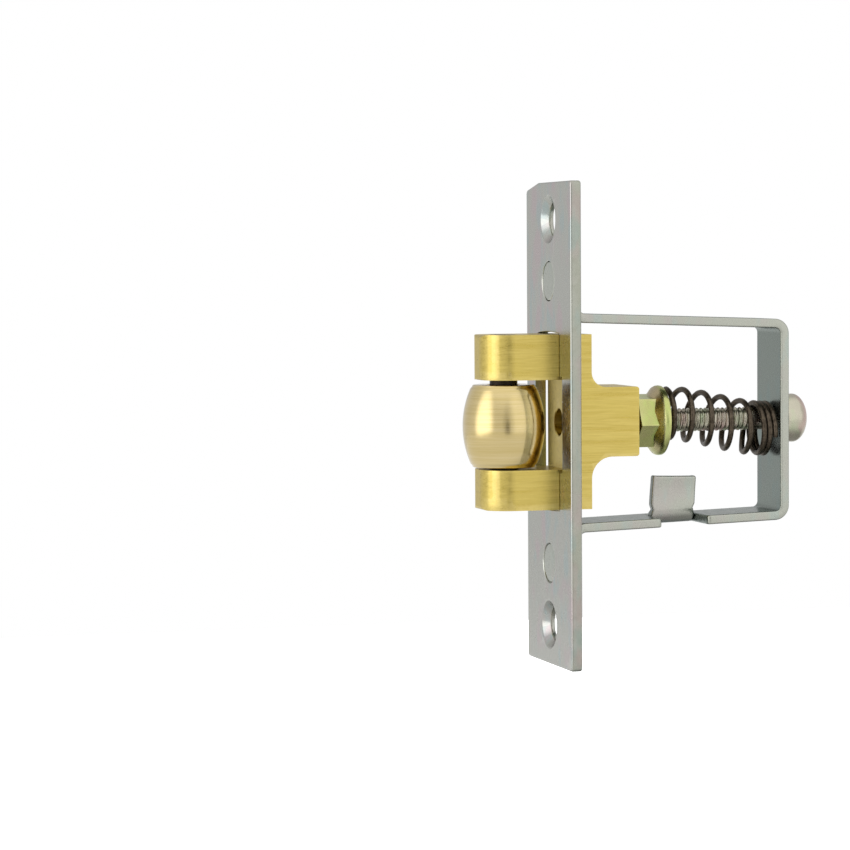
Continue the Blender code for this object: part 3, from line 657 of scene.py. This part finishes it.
def inset(outline, distance):
    """Move an anticlockwise outline inward, or outward if the distance is negative."""
    moved = []
    for index, point in enumerate(outline):
        here = Vector(point)
        before = (here - Vector(outline[index - 1])).normalized()
        after = (Vector(outline[(index + 1) % len(outline)]) - here).normalized()
        normal_before = Vector((-before.y, before.x))
        normal_after = Vector((-after.y, after.x))
        middle = (normal_before + normal_after).normalized()
        moved.append(tuple(here + middle * (distance / max(middle.dot(normal_after), 0.3))))
    return moved


def join_rings(bm, rings):
    """Join rings of vertices with faces; a ring of one vertex is a tip."""
    steps = max(len(ring) for ring in rings)
    for ring, following in zip(rings, rings[1:]):
        for index in range(steps):
            after = (index + 1) % steps
            corners = [ring[index % len(ring)], ring[after % len(ring)]]
            corners += [following[after % len(following)], following[index % len(following)]]
            unique = list(dict.fromkeys(corners))
            if len(unique) > 2:
                bm.faces.new(unique)


def loft(rings, capped=True):
    """A mesh through rings of points, closed by a face at each end."""
    bm = bmesh.new()
    loops = [[bm.verts.new(point) for point in ring] for ring in rings]
    join_rings(bm, loops)
    if capped:
        bm.faces.new(loops[0])
        bm.faces.new(loops[-1])
    return bm


def prism(points, vector):
    """Extrude a closed outline of 3D points along a vector."""
    return loft([points, [Vector(point) + Vector(vector) for point in points]])


def revolve(profile, steps, centre=(0.0, 0.0, 0.0), axis="X"):
    """Turn an open profile of (radius, distance along axis) points; a radius of 0 closes an end."""
    rings = []
    for radius, along in profile:
        ring = []
        for index in range(1 if radius == 0.0 else steps):
            angle = 2 * pi * index / steps
            across = (radius * cos(angle), radius * sin(angle))
            place = (along, *across) if axis == "X" else (*across, along)
            ring.append(Vector(place) + Vector(centre))
        rings.append(ring)
    return loft(rings, capped=False)


def rim_profile(low, high, low_round, high_round):
    """(inset, level) pairs up a rim from the low face to the high face, both edges rounded."""
    profile = [(low_round + SUPPORT, low)]
    profile += arc((low_round, low + low_round), low_round, -pi / 2, -pi, 4)
    profile += arc((high_round, high - high_round), high_round, pi, pi / 2, 4)
    return [*profile, (high_round + SUPPORT, high)]


def sheet(outer, low, high, low_round, high_round, window=None, round_holes=()):
    """A flat plate in (a, b, level): rounded outer rim, shaped holes and turned holes, faces filled."""
    bm = bmesh.new()
    face_edges = {low: [], high: []}

    def wall(loops):
        rings = [[bm.verts.new((a, b, level)) for a, b in points] for points, level in loops]
        join_rings(bm, rings)
        for ring, level in ((rings[0], low), (rings[-1], high)):
            face_edges[level] += [bm.edges.get(pair) for pair in zip(ring, [*ring[1:], ring[0]])]

    profile = rim_profile(low, high, low_round, high_round)
    wall([(inset(outer, away), level) for away, level in profile])
    if window:
        profile = rim_profile(low, high, WINDOW_ROUND, WINDOW_ROUND)
        wall([(inset(window, -away), level) for away, level in profile])
    for centre, profile in round_holes:
        rings = [(profile[0][0] + SUPPORT, low), *profile, (profile[-1][0] + SUPPORT, high)]
        wall([(circle(centre, radius), level) for radius, level in rings])
    for level in (low, high):
        bmesh.ops.triangle_fill(bm, use_beauty=True, edges=face_edges[level], normal=(0.0, 0.0, 1.0))
    bmesh.ops.remove_doubles(bm, verts=bm.verts, dist=1e-8)
    return bm


def window_outline():
    """The cross window: arched over each arm, wider at the roller."""
    arm = FORK_HALF_WIDTH + FIT_GAP
    side = (ROLLER_HIGH.y - ROLLER_LOW.y) / 2 + WINDOW_ROLLER_GAP
    top = FORK_HIGH.z + WINDOW_END_GAP
    bottom = FORK_LOW.z - WINDOW_END_GAP
    high = GAP_TOP + WINDOW_ROLLER_GAP
    low = GAP_BOTTOM - WINDOW_ROLLER_GAP
    right = [(arm, bottom), (arm, low), (side, low), (side, high), (arm, high), (arm, top)]
    corners = []
    for sign, level, edge in ((1.0, top, right), (-1.0, bottom, right[::-1])):
        corners += [(sign * y, z, WINDOW_CORNER) for y, z in edge]
        for share in spaced(-1.0, 1.0, 12)[1:-1]:
            rise = WINDOW_ARCH * cos(pi / 2 * share)
            corners.append((-sign * arm * share, level + sign * rise, 0.0))
    return rounded(corners, 6)


def face_plate():
    """The plate let into the door edge."""
    half = PLATE_HIGH.y
    top = PLATE_HIGH.z
    outer = rounded(
        [
            (-half, PLATE_LOW.z, PLATE_CORNER_RADIUS),
            (half, PLATE_LOW.z, PLATE_CORNER_RADIUS),
            (half, top - CORNER_CUT_HEIGHT, CORNER_CUT_ROUND),
            (half - CORNER_CUT_WIDTH, top, CORNER_CUT_ROUND),
            (-half, top, PLATE_CORNER_RADIUS),
        ]
    )
    front = PLATE_LOW.x
    sink_end = front + COUNTERSINK_RADIUS - SCREW_HOLE_RADIUS
    # The countersink's lip and its foot are worn a little round
    screw_hole = [
        (COUNTERSINK_RADIUS + 0.18 * MM, front),
        (COUNTERSINK_RADIUS + 0.06 * MM, front + 0.03 * MM),
        (COUNTERSINK_RADIUS - 0.04 * MM, front + 0.12 * MM),
        (SCREW_HOLE_RADIUS + 0.05 * MM, sink_end),
        (SCREW_HOLE_RADIUS, sink_end + 0.08 * MM),
        (SCREW_HOLE_RADIUS, -0.15 * MM),
        (SCREW_HOLE_RADIUS + 0.12 * MM, 0.0),
    ]
    rivet_seat = [
        (RIVET_SEAT_RADIUS + RIVET_SEAT_CHAMFER, front),
        (RIVET_SEAT_RADIUS, front + RIVET_SEAT_CHAMFER),
        (RIVET_SEAT_RADIUS, front + 0.2 * MM),
        (RIVET_SHANK_RADIUS + FIT_GAP, -0.2 * MM),
        (RIVET_SHANK_RADIUS + FIT_GAP, 0.0),
    ]
    holes = []
    for side in (1, -1):
        holes.append(((0.0, side * SCREW_HOLE_Z), screw_hole))
        holes.append(((0.0, side * RIVET_Z), rivet_seat))
    bm = sheet(outer, front, 0.0, PLATE_FRONT_ROUND, PLATE_BACK_ROUND, window_outline(), holes)
    slice_mesh(bm, PLATE_GRID, (0, 1))
    for vert in bm.verts:
        y, z, x = vert.co
        vert.co = (x, y, z)
    dress(object_from("face_plate", bm), ZINC_PLATE, "case", "zinc_plate", "forend")


def leg_spread(x):
    """How far a leg stands outside the bridge's height at this X."""
    return max(0.0, REAR_BEND_X - x) * tan(LEG_LEAN)


def foot_length(z):
    """Length along the strap's middle line where a foot reaches this height."""
    return FOOT_START + z - leg_spread(STRAP_LOW.x) - LEG_Z - BEND_RADIUS


def strap_place(length, out):
    """(x, z) of a point on the bent strap: its length along the middle line, and how far outside it."""
    side = 1.0 if length >= 0.0 else -1.0
    along = abs(length)
    if along <= BRIDGE_END:
        x, z = REAR_BEND_X + BEND_RADIUS + out, along
    elif along <= LEG_START:
        angle = (along - BRIDGE_END) / BEND_RADIUS
        x = REAR_BEND_X + (BEND_RADIUS + out) * cos(angle)
        z = BRIDGE_END + (BEND_RADIUS + out) * sin(angle)
    elif along <= LEG_END:
        x, z = REAR_BEND_X - (along - LEG_START), LEG_Z + out
    elif along <= FOOT_START:
        angle = (along - LEG_END) / BEND_RADIUS
        x = FOOT_BEND_X - (BEND_RADIUS - out) * sin(angle)
        z = LEG_Z + BEND_RADIUS - (BEND_RADIUS - out) * cos(angle)
    else:
        x, z = FOOT_BEND_X - BEND_RADIUS + out, LEG_Z + BEND_RADIUS + along - FOOT_START
    return x, side * z


def fold_tab(length, y, out):
    """Fold the stop tab up from its root, narrow its neck and spread its top, as shearing leaves it."""
    slack = TAB_RELIEF / 2
    if not TAB_FRONT - slack <= length <= TAB_REAR + slack or y >= TAB_ROOT_Y:
        return length, y, out
    side = (length - (TAB_FRONT + TAB_REAR) / 2) / ((TAB_REAR - TAB_FRONT) / 2 + slack)
    away = TAB_ROOT_Y - y
    rise = away - BEND_LENGTH
    neck = TAB_NECK * max(0.0, 1 - abs(rise) / TAB_NECK_REACH)
    spread = TAB_SPREAD * min(max(rise / TAB_SPREAD_REACH, 0.0), 1.0)
    length += spread * side * (1.0 if side > 0.0 else TAB_FRONT_SPREAD) - neck * side
    reach = BEND_RADIUS + out
    if rise < 0.0:
        angle = away / BEND_RADIUS
        return length, TAB_ROOT_Y - reach * sin(angle), reach * cos(angle) - BEND_RADIUS
    share = min(rise / (TAB_ROOT_Y + STRAP_HALF_WIDTH - BEND_LENGTH), 1.0)
    bow = TAB_BOW * sin(pi * share)
    # The top corners are drawn up into small horns
    horn = TAB_HORN * max(0.0, (abs(side) - 0.82) / 0.18) * max(0.0, (share - 0.7) / 0.3)
    return length, TAB_ROOT_Y - reach + bow, TAB_SLANT * side * share - BEND_RADIUS - rise - horn


def strap_blank():
    """The strap's outline before it is folded, with the stop tab cut free."""
    end = foot_length(STRAP_HIGH.z)
    half = STRAP_HALF_WIDTH
    front = TAB_FRONT - TAB_RELIEF
    rear = TAB_REAR + TAB_RELIEF
    tab_end = TAB_TRIM - half
    return rounded(
        [
            (-end, -half, STRAP_CORNER_RADIUS),
            (front, -half, NOTCH_CORNER),
            (front, TAB_ROOT_Y, NOTCH_ROOT_CORNER),
            (TAB_FRONT, TAB_ROOT_Y, NOTCH_ROOT_CORNER),
            (TAB_FRONT, tab_end, TAB_CORNER),
            (TAB_REAR, tab_end, TAB_CORNER),
            (TAB_REAR, TAB_ROOT_Y, NOTCH_ROOT_CORNER),
            (rear, TAB_ROOT_Y, NOTCH_ROOT_CORNER),
            (rear, -half, NOTCH_CORNER),
            (end, -half, STRAP_CORNER_RADIUS),
            (end, half, STRAP_CORNER_RADIUS),
            (-end, half, STRAP_CORNER_RADIUS),
        ],
        5,
    )


def strap_frame():
    """The strap: its flat blank, drilled, then folded as the real one is."""
    thickness = STRAP_THICKNESS / 2
    radius = THREAD_RADIUS + 0.4 * MM
    chamfer = 0.15 * MM
    bridge_hole = [(radius + chamfer, -thickness), (radius, chamfer - thickness)]
    bridge_hole += [(radius, thickness - chamfer), (radius + chamfer, thickness)]
    rivet_hole = [(RIVET_SHANK_RADIUS + FIT_GAP, level) for level in (-thickness, thickness)]
    rivet_length = foot_length(RIVET_Z)
    holes = [((0.0, 0.0), bridge_hole), ((rivet_length, 0.0), rivet_hole), ((-rivet_length, 0.0), rivet_hole)]
    edge = STRAP_EDGE_ROUND
    bm = sheet(strap_blank(), -thickness, thickness, edge, edge, round_holes=holes)
    slice_mesh(bm, STRAP_GRID, (0, 1))
    bends = spaced(BRIDGE_END, LEG_START, 12) + spaced(LEG_END, FOOT_START, 12)
    for length in bends + [-length for length in bends] + spaced(TAB_FRONT, TAB_REAR, 12):
        bisect(bm, 0, length, 1e-7)
    tab_bend_end = TAB_ROOT_Y - BEND_LENGTH
    tab_rows = spaced(TAB_ROOT_Y, tab_bend_end, 10) + spaced(tab_bend_end, tab_bend_end - 6.0 * MM, 8)[1:-1]
    for y in tab_rows:
        bisect(bm, 1, y, 1e-7)
    for vert in bm.verts:
        length, y, out = fold_tab(*vert.co)
        x, z = strap_place(length, out)
        vert.co = (x, y, z + (leg_spread(x) if z > 0.0 else -leg_spread(x)))
    dress(object_from("strap_frame", bm), ZINC_STRAP, "case", "zinc_strap", "frame")


def rivet(end, side, sunk, tilt):
    """A rivet: its head beaten flat in the plate's seat and a little askew, its tail behind the foot."""
    front = PLATE_LOW.x
    face = front + sunk
    tail = STRAP_LOW.x + STRAP_THICKNESS + 0.05 * MM
    profile = [
        (0.0, face),
        (RIVET_HEAD_RADIUS * 0.6, face),
        (RIVET_HEAD_RADIUS - 0.35 * MM, face + 0.01 * MM),
        (RIVET_HEAD_RADIUS - 0.12 * MM, face + 0.05 * MM),
        (RIVET_HEAD_RADIUS, face + 0.16 * MM),
        (RIVET_SHANK_RADIUS, -0.25 * MM),
        (RIVET_SHANK_RADIUS, tail),
        (RIVET_TAIL_RADIUS - 0.15 * MM, tail),
        *dome(RIVET_TAIL_RADIUS, tail + RIVET_TAIL_EDGE, RIVET_HIGH.x, 8),
    ]
    middle_z = side * RIVET_Z
    bm = revolve(profile, 56, (0.0, 0.0, middle_z))
    for vert in bm.verts:
        if vert.co.x < front / 2:
            askew = tilt * (vert.co.y + vert.co.z - middle_z) / 2
            vert.co.x = max(vert.co.x + askew, front)
    dress(object_from(f"rivet_end_{end}", bm), RIVET_ZINC, "case", "rivet_zinc", f"rivet_{end}")


def thread_rod(radius, start, stop, chamfer):
    """A closed bar along X with a right-hand thread, its ends run down over a chamfer."""
    rings = []
    for x in spaced(start, stop, round((stop - start) / THREAD_PITCH * RINGS_PER_PITCH)):
        limit = radius - max(0.0, chamfer - min(x - start, stop - x))
        ring = []
        for step in range(THREAD_SIDES):
            turn = step / THREAD_SIDES
            from_crest = abs((x / THREAD_PITCH + turn) % 1.0 - 0.5) * 2
            depth = min(max((from_crest - THREAD_CREST) / (1 - 2 * THREAD_CREST), 0.0), 1.0)
            reach = min(radius - THREAD_DEPTH * depth, limit)
            ring.append((x, -reach * sin(2 * pi * turn), reach * cos(2 * pi * turn)))
        rings.append(ring)
    return loft(rings)


def fork():
    """The brass fork: side and plan outlines crossed, edges broken, bored and tapped."""
    top = FORK_HIGH.z
    bottom = FORK_LOW.z
    nose = FORK_LOW.x
    rear = FORK_HIGH.x
    width = FORK_HALF_WIDTH
    side = rounded(
        [
            (nose, top, NOSE_CORNER),
            (SHOULDER_X, top, 0.0),
            (SHOULDER_X, STEM_TOP, STEM_TOP_FILLET),
            (rear, STEM_TOP, STEM_END_CORNER),
            (rear, STEM_BOTTOM, STEM_END_CORNER),
            (SHOULDER_X, STEM_BOTTOM, STEM_BOTTOM_FILLET),
            (SHOULDER_X, bottom, 0.0),
            (nose, bottom, NOSE_CORNER),
            (nose, GAP_BOTTOM, 0.0),
            (WEB_X, GAP_BOTTOM, 0.0),
            (WEB_X, GAP_TOP, 0.0),
            (nose, GAP_TOP, GAP_CORNER),
        ],
        14,
    )
    plan = rounded(
        [
            (nose, -width, NOSE_RADIUS),
            (2 * rear, -width, 0.0),
            (2 * rear, width, 0.0),
            (nose, width, NOSE_RADIUS),
        ],
        20,
    )
    piece = object_from("roller_fork", prism([(x, -width, z) for x, z in side], (0.0, 2 * width, 0.0)))
    cut(piece, prism([(x, y, 2 * bottom) for x, y in plan], (0.0, 0.0, 2 * (top - bottom))), "INTERSECT")
    bore = PIN_RADIUS + 0.04 * MM
    pin_hole = [(0.0, bottom - MM), (bore, bottom - MM), (bore, top + MM), (0.0, top + MM)]
    cut(piece, revolve(pin_hole, 56, (PIN_X, 0.0, 0.0), "Z"))
    round_edges(piece, FORK_EDGE_ROUND)
    slice_piece(piece, FORK_GRID)
    cut(piece, thread_rod(THREAD_RADIUS + 0.1 * MM, WEB_X - 2 * MM, rear + 2 * MM, 0.0))
    bore = THREAD_RADIUS + FIT_GAP
    web_bore = [
        (0.0, WEB_X - MM),
        (bore + WEB_BORE_CHAMFER, WEB_X - MM),
        (bore, WEB_X + 0.15 * MM),
        (bore, WEB_X + WEB_BORE_DEPTH),
        (0.0, WEB_X + WEB_BORE_DEPTH),
    ]
    cut(piece, revolve(web_bore, 56))
    dress(piece, BRUSHED_BRASS, "carrier", "brushed_brass", "roller_carrier")


def roller():
    """The barrel roller, turned, with small rounds at its ends and a chamfered bore."""
    half = (ROLLER_HIGH.z - ROLLER_LOW.z) / 2
    middle = (ROLLER_HIGH.z + ROLLER_LOW.z) / 2
    widest = (ROLLER_HIGH.x - ROLLER_LOW.x) / 2
    edge = ROLLER_EDGE
    end_radius = widest - ROLLER_CROWN - edge
    barrel = (half * half + ROLLER_CROWN * ROLLER_CROWN) / (2 * ROLLER_CROWN)
    bore = PIN_RADIUS + ROLLER_BORE_GAP
    chamfer = ROLLER_BORE_CHAMFER
    points = [(bore, chamfer - half), (bore + chamfer, -half)]
    points += arc((end_radius, edge - half), edge, -pi / 2, 0.0, 4)
    for z in spaced(edge - half, half - edge, 48)[1:-1]:
        points.append((widest - (barrel - sqrt(barrel * barrel - z * z)), z))
    points += arc((end_radius, half - edge), edge, 0.0, pi / 2, 4)
    points += [(bore + chamfer, half), (bore, half - chamfer), (bore, chamfer - half)]
    bm = revolve([(radius, middle + z) for radius, z in points], 112, (PIN_X, 0.0, 0.0), "Z")
    bmesh.ops.remove_doubles(bm, verts=bm.verts, dist=1e-7)
    piece = object_from("barrel_roller", bm)
    dress(piece, TURNED_BRASS, "roller", "turned_brass", "roller", sharp=radians(50.0))


def axle():
    """The roller's pin, flush with the arms, its ends lightly domed."""
    chamfer = PIN_CHAMFER
    shoulder = [(0.0, 0.0), (PIN_RADIUS - chamfer, 0.0), (PIN_RADIUS - chamfer / 3, chamfer / 3)]
    shoulder.append((PIN_RADIUS, chamfer))
    profile = [(radius, PIN_LOW.z + rise) for radius, rise in shoulder]
    profile += [(radius, PIN_HIGH.z - rise) for radius, rise in reversed(shoulder)]
    piece = object_from("axle_pin", revolve(profile, 56, (PIN_X, 0.0, 0.0), "Z"))
    dress(piece, BLACK_STEEL, "carrier", "black_steel", "roller_pin")


def screw():
    """The adjusting screw: threaded shank, plain neck, domed head with a cross recess."""
    head = (SCREW_HIGH.z - SCREW_LOW.z) / 2
    top = SCREW_HIGH.x
    neck = THREAD_RADIUS - 0.06 * MM
    neck_start = THREAD_END_X - 0.6 * MM
    profile = [
        (0.0, neck_start),
        (neck - SCREW_NECK_CHAMFER, neck_start),
        (neck, THREAD_END_X),
        (neck, HEAD_X),
        (head - HEAD_CHAMFER, HEAD_X),
        (head, HEAD_X + HEAD_CHAMFER),
        *dome(head, HEAD_X + HEAD_RIM, top, 24),
    ]
    piece = object_from("screw_head", revolve(profile, 64))
    for turned in (0.0, pi / 2):
        blade = []
        for above, reach, width in RECESS:
            corners = ((-width, -reach), (width, -reach), (width, reach), (-width, reach))
            turn = Matrix.Rotation(turned, 3, "X")
            blade.append([turn @ Vector((top + above, y, z)) for y, z in corners])
        cut(piece, loft(blade))
    thread = thread_rod(THREAD_RADIUS, SCREW_LOW.x, THREAD_END_X, SCREW_TIP_CHAMFER)
    shank = object_from("screw_shank", thread)
    dress(piece, SCREW_ZINC, "screw", "screw_zinc", "adjusting_screw", sharp=radians(35.0))
    dress(shank, SCREW_ZINC, "screw", "screw_zinc", "adjusting_screw", sharp=radians(60.0))


def nut():
    """The flange nut: six chamfered flats over a dished flange with a rolled rim."""
    flats = NUT_HALF_FLATS
    corner = flats / cos(pi / 6)
    flange = (NUT_HIGH.z - NUT_LOW.z) / 2
    front = NUT_LOW.x
    rear = NUT_HIGH.x
    hex_end = rear - NUT_FLANGE_DEPTH
    hexagon = [(front, y, z) for y, z in arc((0.0, 0.0), corner, NUT_TURN, NUT_TURN + pi * 5 / 3, 5)]
    piece = object_from("flange_nut_body", prism(hexagon, (hex_end + 0.4 * MM - front, 0.0, 0.0)))
    blank = [
        (0.0, front - MM),
        (NUT_COLLAR_RADIUS, front - MM),
        (NUT_COLLAR_RADIUS, front + NUT_COLLAR_LENGTH),
        (corner, front + NUT_COLLAR_LENGTH + 0.18 * MM),
        (corner + 0.02 * MM, rear),
        (0.0, rear),
    ]
    cut(piece, revolve(blank, 96), "INTERSECT")
    round_edges(piece, NUT_EDGE_ROUND, 2)
    skirt = [
        (0.0, hex_end - 0.9 * MM),
        (flats - 0.25 * MM, hex_end - 0.9 * MM),
        (flats + 0.2 * MM, hex_end - 0.35 * MM),
        (flats + 0.9 * MM, hex_end + 0.05 * MM),
        (flange - 0.55 * MM, rear - 1.35 * MM),
        (flange - 0.22 * MM, rear - 1.15 * MM),
        (flange - 0.04 * MM, rear - 0.8 * MM),
        (flange, rear - 0.4 * MM),
        (flange - 0.06 * MM, rear - 0.1 * MM),
        (flange - 0.25 * MM, rear),
        (0.0, rear),
    ]
    cut(piece, revolve(skirt, 96), "UNION")
    bore = THREAD_RADIUS + 0.08 * MM
    hole = [
        (0.0, front - MM),
        (bore + 1.3 * MM, front - MM),
        (bore, front + 0.3 * MM),
        (bore, rear + MM),
        (0.0, rear + MM),
    ]
    cut(piece, revolve(hole, 64))
    dress(piece, YELLOW_ZINC, "screw", "yellow_zinc", "flange_nut", sharp=radians(32.0))


def coil_points():
    """The wire's middle line: closed turns at both ends, open turns between, sagging to the rear."""
    start = SPRING_LOW.x + WIRE_RADIUS
    end = SPRING_HIGH.x - WIRE_RADIUS + SPRING_REAR_REACH
    turns = CLOSED_TURNS_FRONT + OPEN_TURNS + CLOSED_TURNS_REAR
    closed_length = (CLOSED_TURNS_FRONT + CLOSED_TURNS_REAR) * CLOSED_PITCH
    open_pitch = (end - start - closed_length) / OPEN_TURNS
    points = []
    for turn in spaced(0.0, turns, round(turns * STEPS_PER_TURN)):
        past_front = turn - CLOSED_TURNS_FRONT
        closed = min(turn, CLOSED_TURNS_FRONT) + max(past_front - OPEN_TURNS, 0.0)
        opened = min(max(past_front, 0.0), OPEN_TURNS)
        x = start + closed * CLOSED_PITCH + opened * open_pitch
        along = (x - start) / (end - start)
        sag = SPRING_FRONT_RISE - (SPRING_FRONT_RISE + SPRING_REAR_SAG) * along * along * (3 - 2 * along)
        angle = 2 * pi * turn
        free = min(opened / LEAN_IN_TURNS, (OPEN_TURNS - opened) / LEAN_OUT_TURNS, 1.0)
        lean = free * (COIL_LEAN * cos(angle) - COIL_LAG)
        radius = SPRING_MEAN_RADIUS + SPRING_REAR_GROWTH * along
        across = -radius * sin(angle) - SPRING_REAR_SHIFT * along
        points.append(Vector((x + lean, across, radius * cos(angle) + sag)))
    return points


def tube_along(points, radius, sides):
    """Sweep a round wire along points, its cut ends slightly rounded."""
    rings = []
    last = len(points) - 1
    for index, point in enumerate(points):
        tangent = (points[min(index + 1, last)] - points[max(index - 1, 0)]).normalized()
        across = tangent.cross(Vector((1.0, 0.0, 0.0))).normalized()
        along = across.cross(tangent)
        here = radius * (0.82 if index in (0, last) else 1.0)
        spokes = circle((0.0, 0.0), here, sides)
        rings.append([point + across * a + along * b for a, b in spokes])
    return loft(rings)


def spring():
    """The compression spring; on the real catch it shortens towards the nut as the roller goes in."""
    piece = object_from("spring_wire", tube_along(coil_points(), WIRE_RADIUS, WIRE_SIDES))
    dress(piece, SPRING_STEEL, "spring", "spring_steel", "spring", sharp=radians(60.0))
    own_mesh(piece)


def camera():
    """The camera at the photograph's place and angle."""
    yaw, pitch, roll = (radians(angle) for angle in CAMERA_ANGLES)
    forward = Vector((sin(yaw) * cos(pitch), cos(yaw) * cos(pitch), sin(pitch)))
    right = Vector((cos(yaw), -sin(yaw), 0.0))
    up = right.cross(forward)
    rolled_right = right * cos(roll) + up * sin(roll)
    rolled_up = up * cos(roll) - right * sin(roll)
    data = bpy.data.cameras.new("camera")
    data.lens = CAMERA_LENS
    data.sensor_width = 36.0
    data.clip_start = 0.01
    data.clip_end = 20.0
    made = bpy.data.objects.new("camera", data)
    made.matrix_world = Matrix((rolled_right, rolled_up, -forward)).transposed().to_4x4()
    made.location = CAMERA_PLACE
    bpy.context.scene.collection.objects.link(made)
    bpy.context.scene.camera = made


def patch(tree, direction, centre, inner, outer, squeeze):
    """A soft patch of sky: 1 within the inner angle, 0 past the outer one; a small squeeze makes it tall."""
    squeezed = vector_arithmetic(tree, "MULTIPLY", direction, (1.0, 1.0, squeeze))
    unit = vector_arithmetic(tree, "NORMALIZE", squeezed)
    facing = vector_arithmetic(tree, "DOT_PRODUCT", unit, tuple(Vector(centre).normalized()))
    return rescale(tree, facing, cos(radians(outer)), cos(radians(inner)))


def room():
    """A white room: white to the camera, even light with soft patches for what the metal reflects."""
    scene = bpy.context.scene
    scene.view_settings.view_transform = "Standard"
    world = bpy.data.worlds.new("studio")
    scene.world = world
    world.use_nodes = True
    tree = world.node_tree
    tree.nodes.clear()
    direction = add_node(tree, "ShaderNodeTexCoord").outputs["Generated"]
    level = ROOM_LEVEL
    for *place, strength in ROOM_PATCHES:
        level = arithmetic(tree, "MULTIPLY_ADD", patch(tree, direction, *place), strength, level)
    seen = add_node(tree, "ShaderNodeLightPath").outputs["Is Camera Ray"]
    colour = blend_colour(tree, seen, grey(tree, level), (1.0, 1.0, 1.0, 1.0))
    background = add_node(tree, "ShaderNodeBackground", {"Color": colour, "Strength": 1.0})
    add_node(tree, "ShaderNodeOutputWorld", {"Surface": background.outputs[0]})


def pale_floor():
    """A pale floor that the metal reflects, with a painted shadow darker around the shade place; the camera
    sees it white, and sees through it from below.
    """
    bm = bmesh.new()
    bmesh.ops.create_grid(bm, x_segments=1, y_segments=1, size=FLOOR_REACH)
    bmesh.ops.translate(bm, verts=bm.verts, vec=(0.0, 0.0, FLOOR_Z))
    floor = object_from("studio_floor", bm)
    material, tree, position = start_material("pale_floor")
    painted_shade_distance = vector_arithmetic(tree, "DISTANCE", position, SHADE_PLACE)
    from_below = add_node(tree, "ShaderNodeNewGeometry").outputs["Backfacing"]
    sockets = {
        # Painted shade: the base colour is darker near the shade place, standing in for the part's shadow
        "Base Color": grey(tree, rescale(tree, painted_shade_distance, SHADE_INNER, SHADE_OUTER, SHADE_LEVEL, FLOOR_LEVEL)),
        "Roughness": 0.9,
        "Emission Color": add_node(tree, "ShaderNodeLightPath").outputs["Is Camera Ray"],
        "Emission Strength": 1.0,
        "Alpha": arithmetic(tree, "SUBTRACT", 1.0, from_below),
    }
    set_sockets(tree, tree.nodes["Principled BSDF"], sockets)
    floor.data.materials.append(material)


camera()
face_plate()
strap_frame()
rivet("upper", 1, 0.05 * MM, 0.012)
rivet("lower", -1, 0.11 * MM, -0.022)
fork()
roller()
axle()
screw()
nut()
spring()
room()
pale_floor()
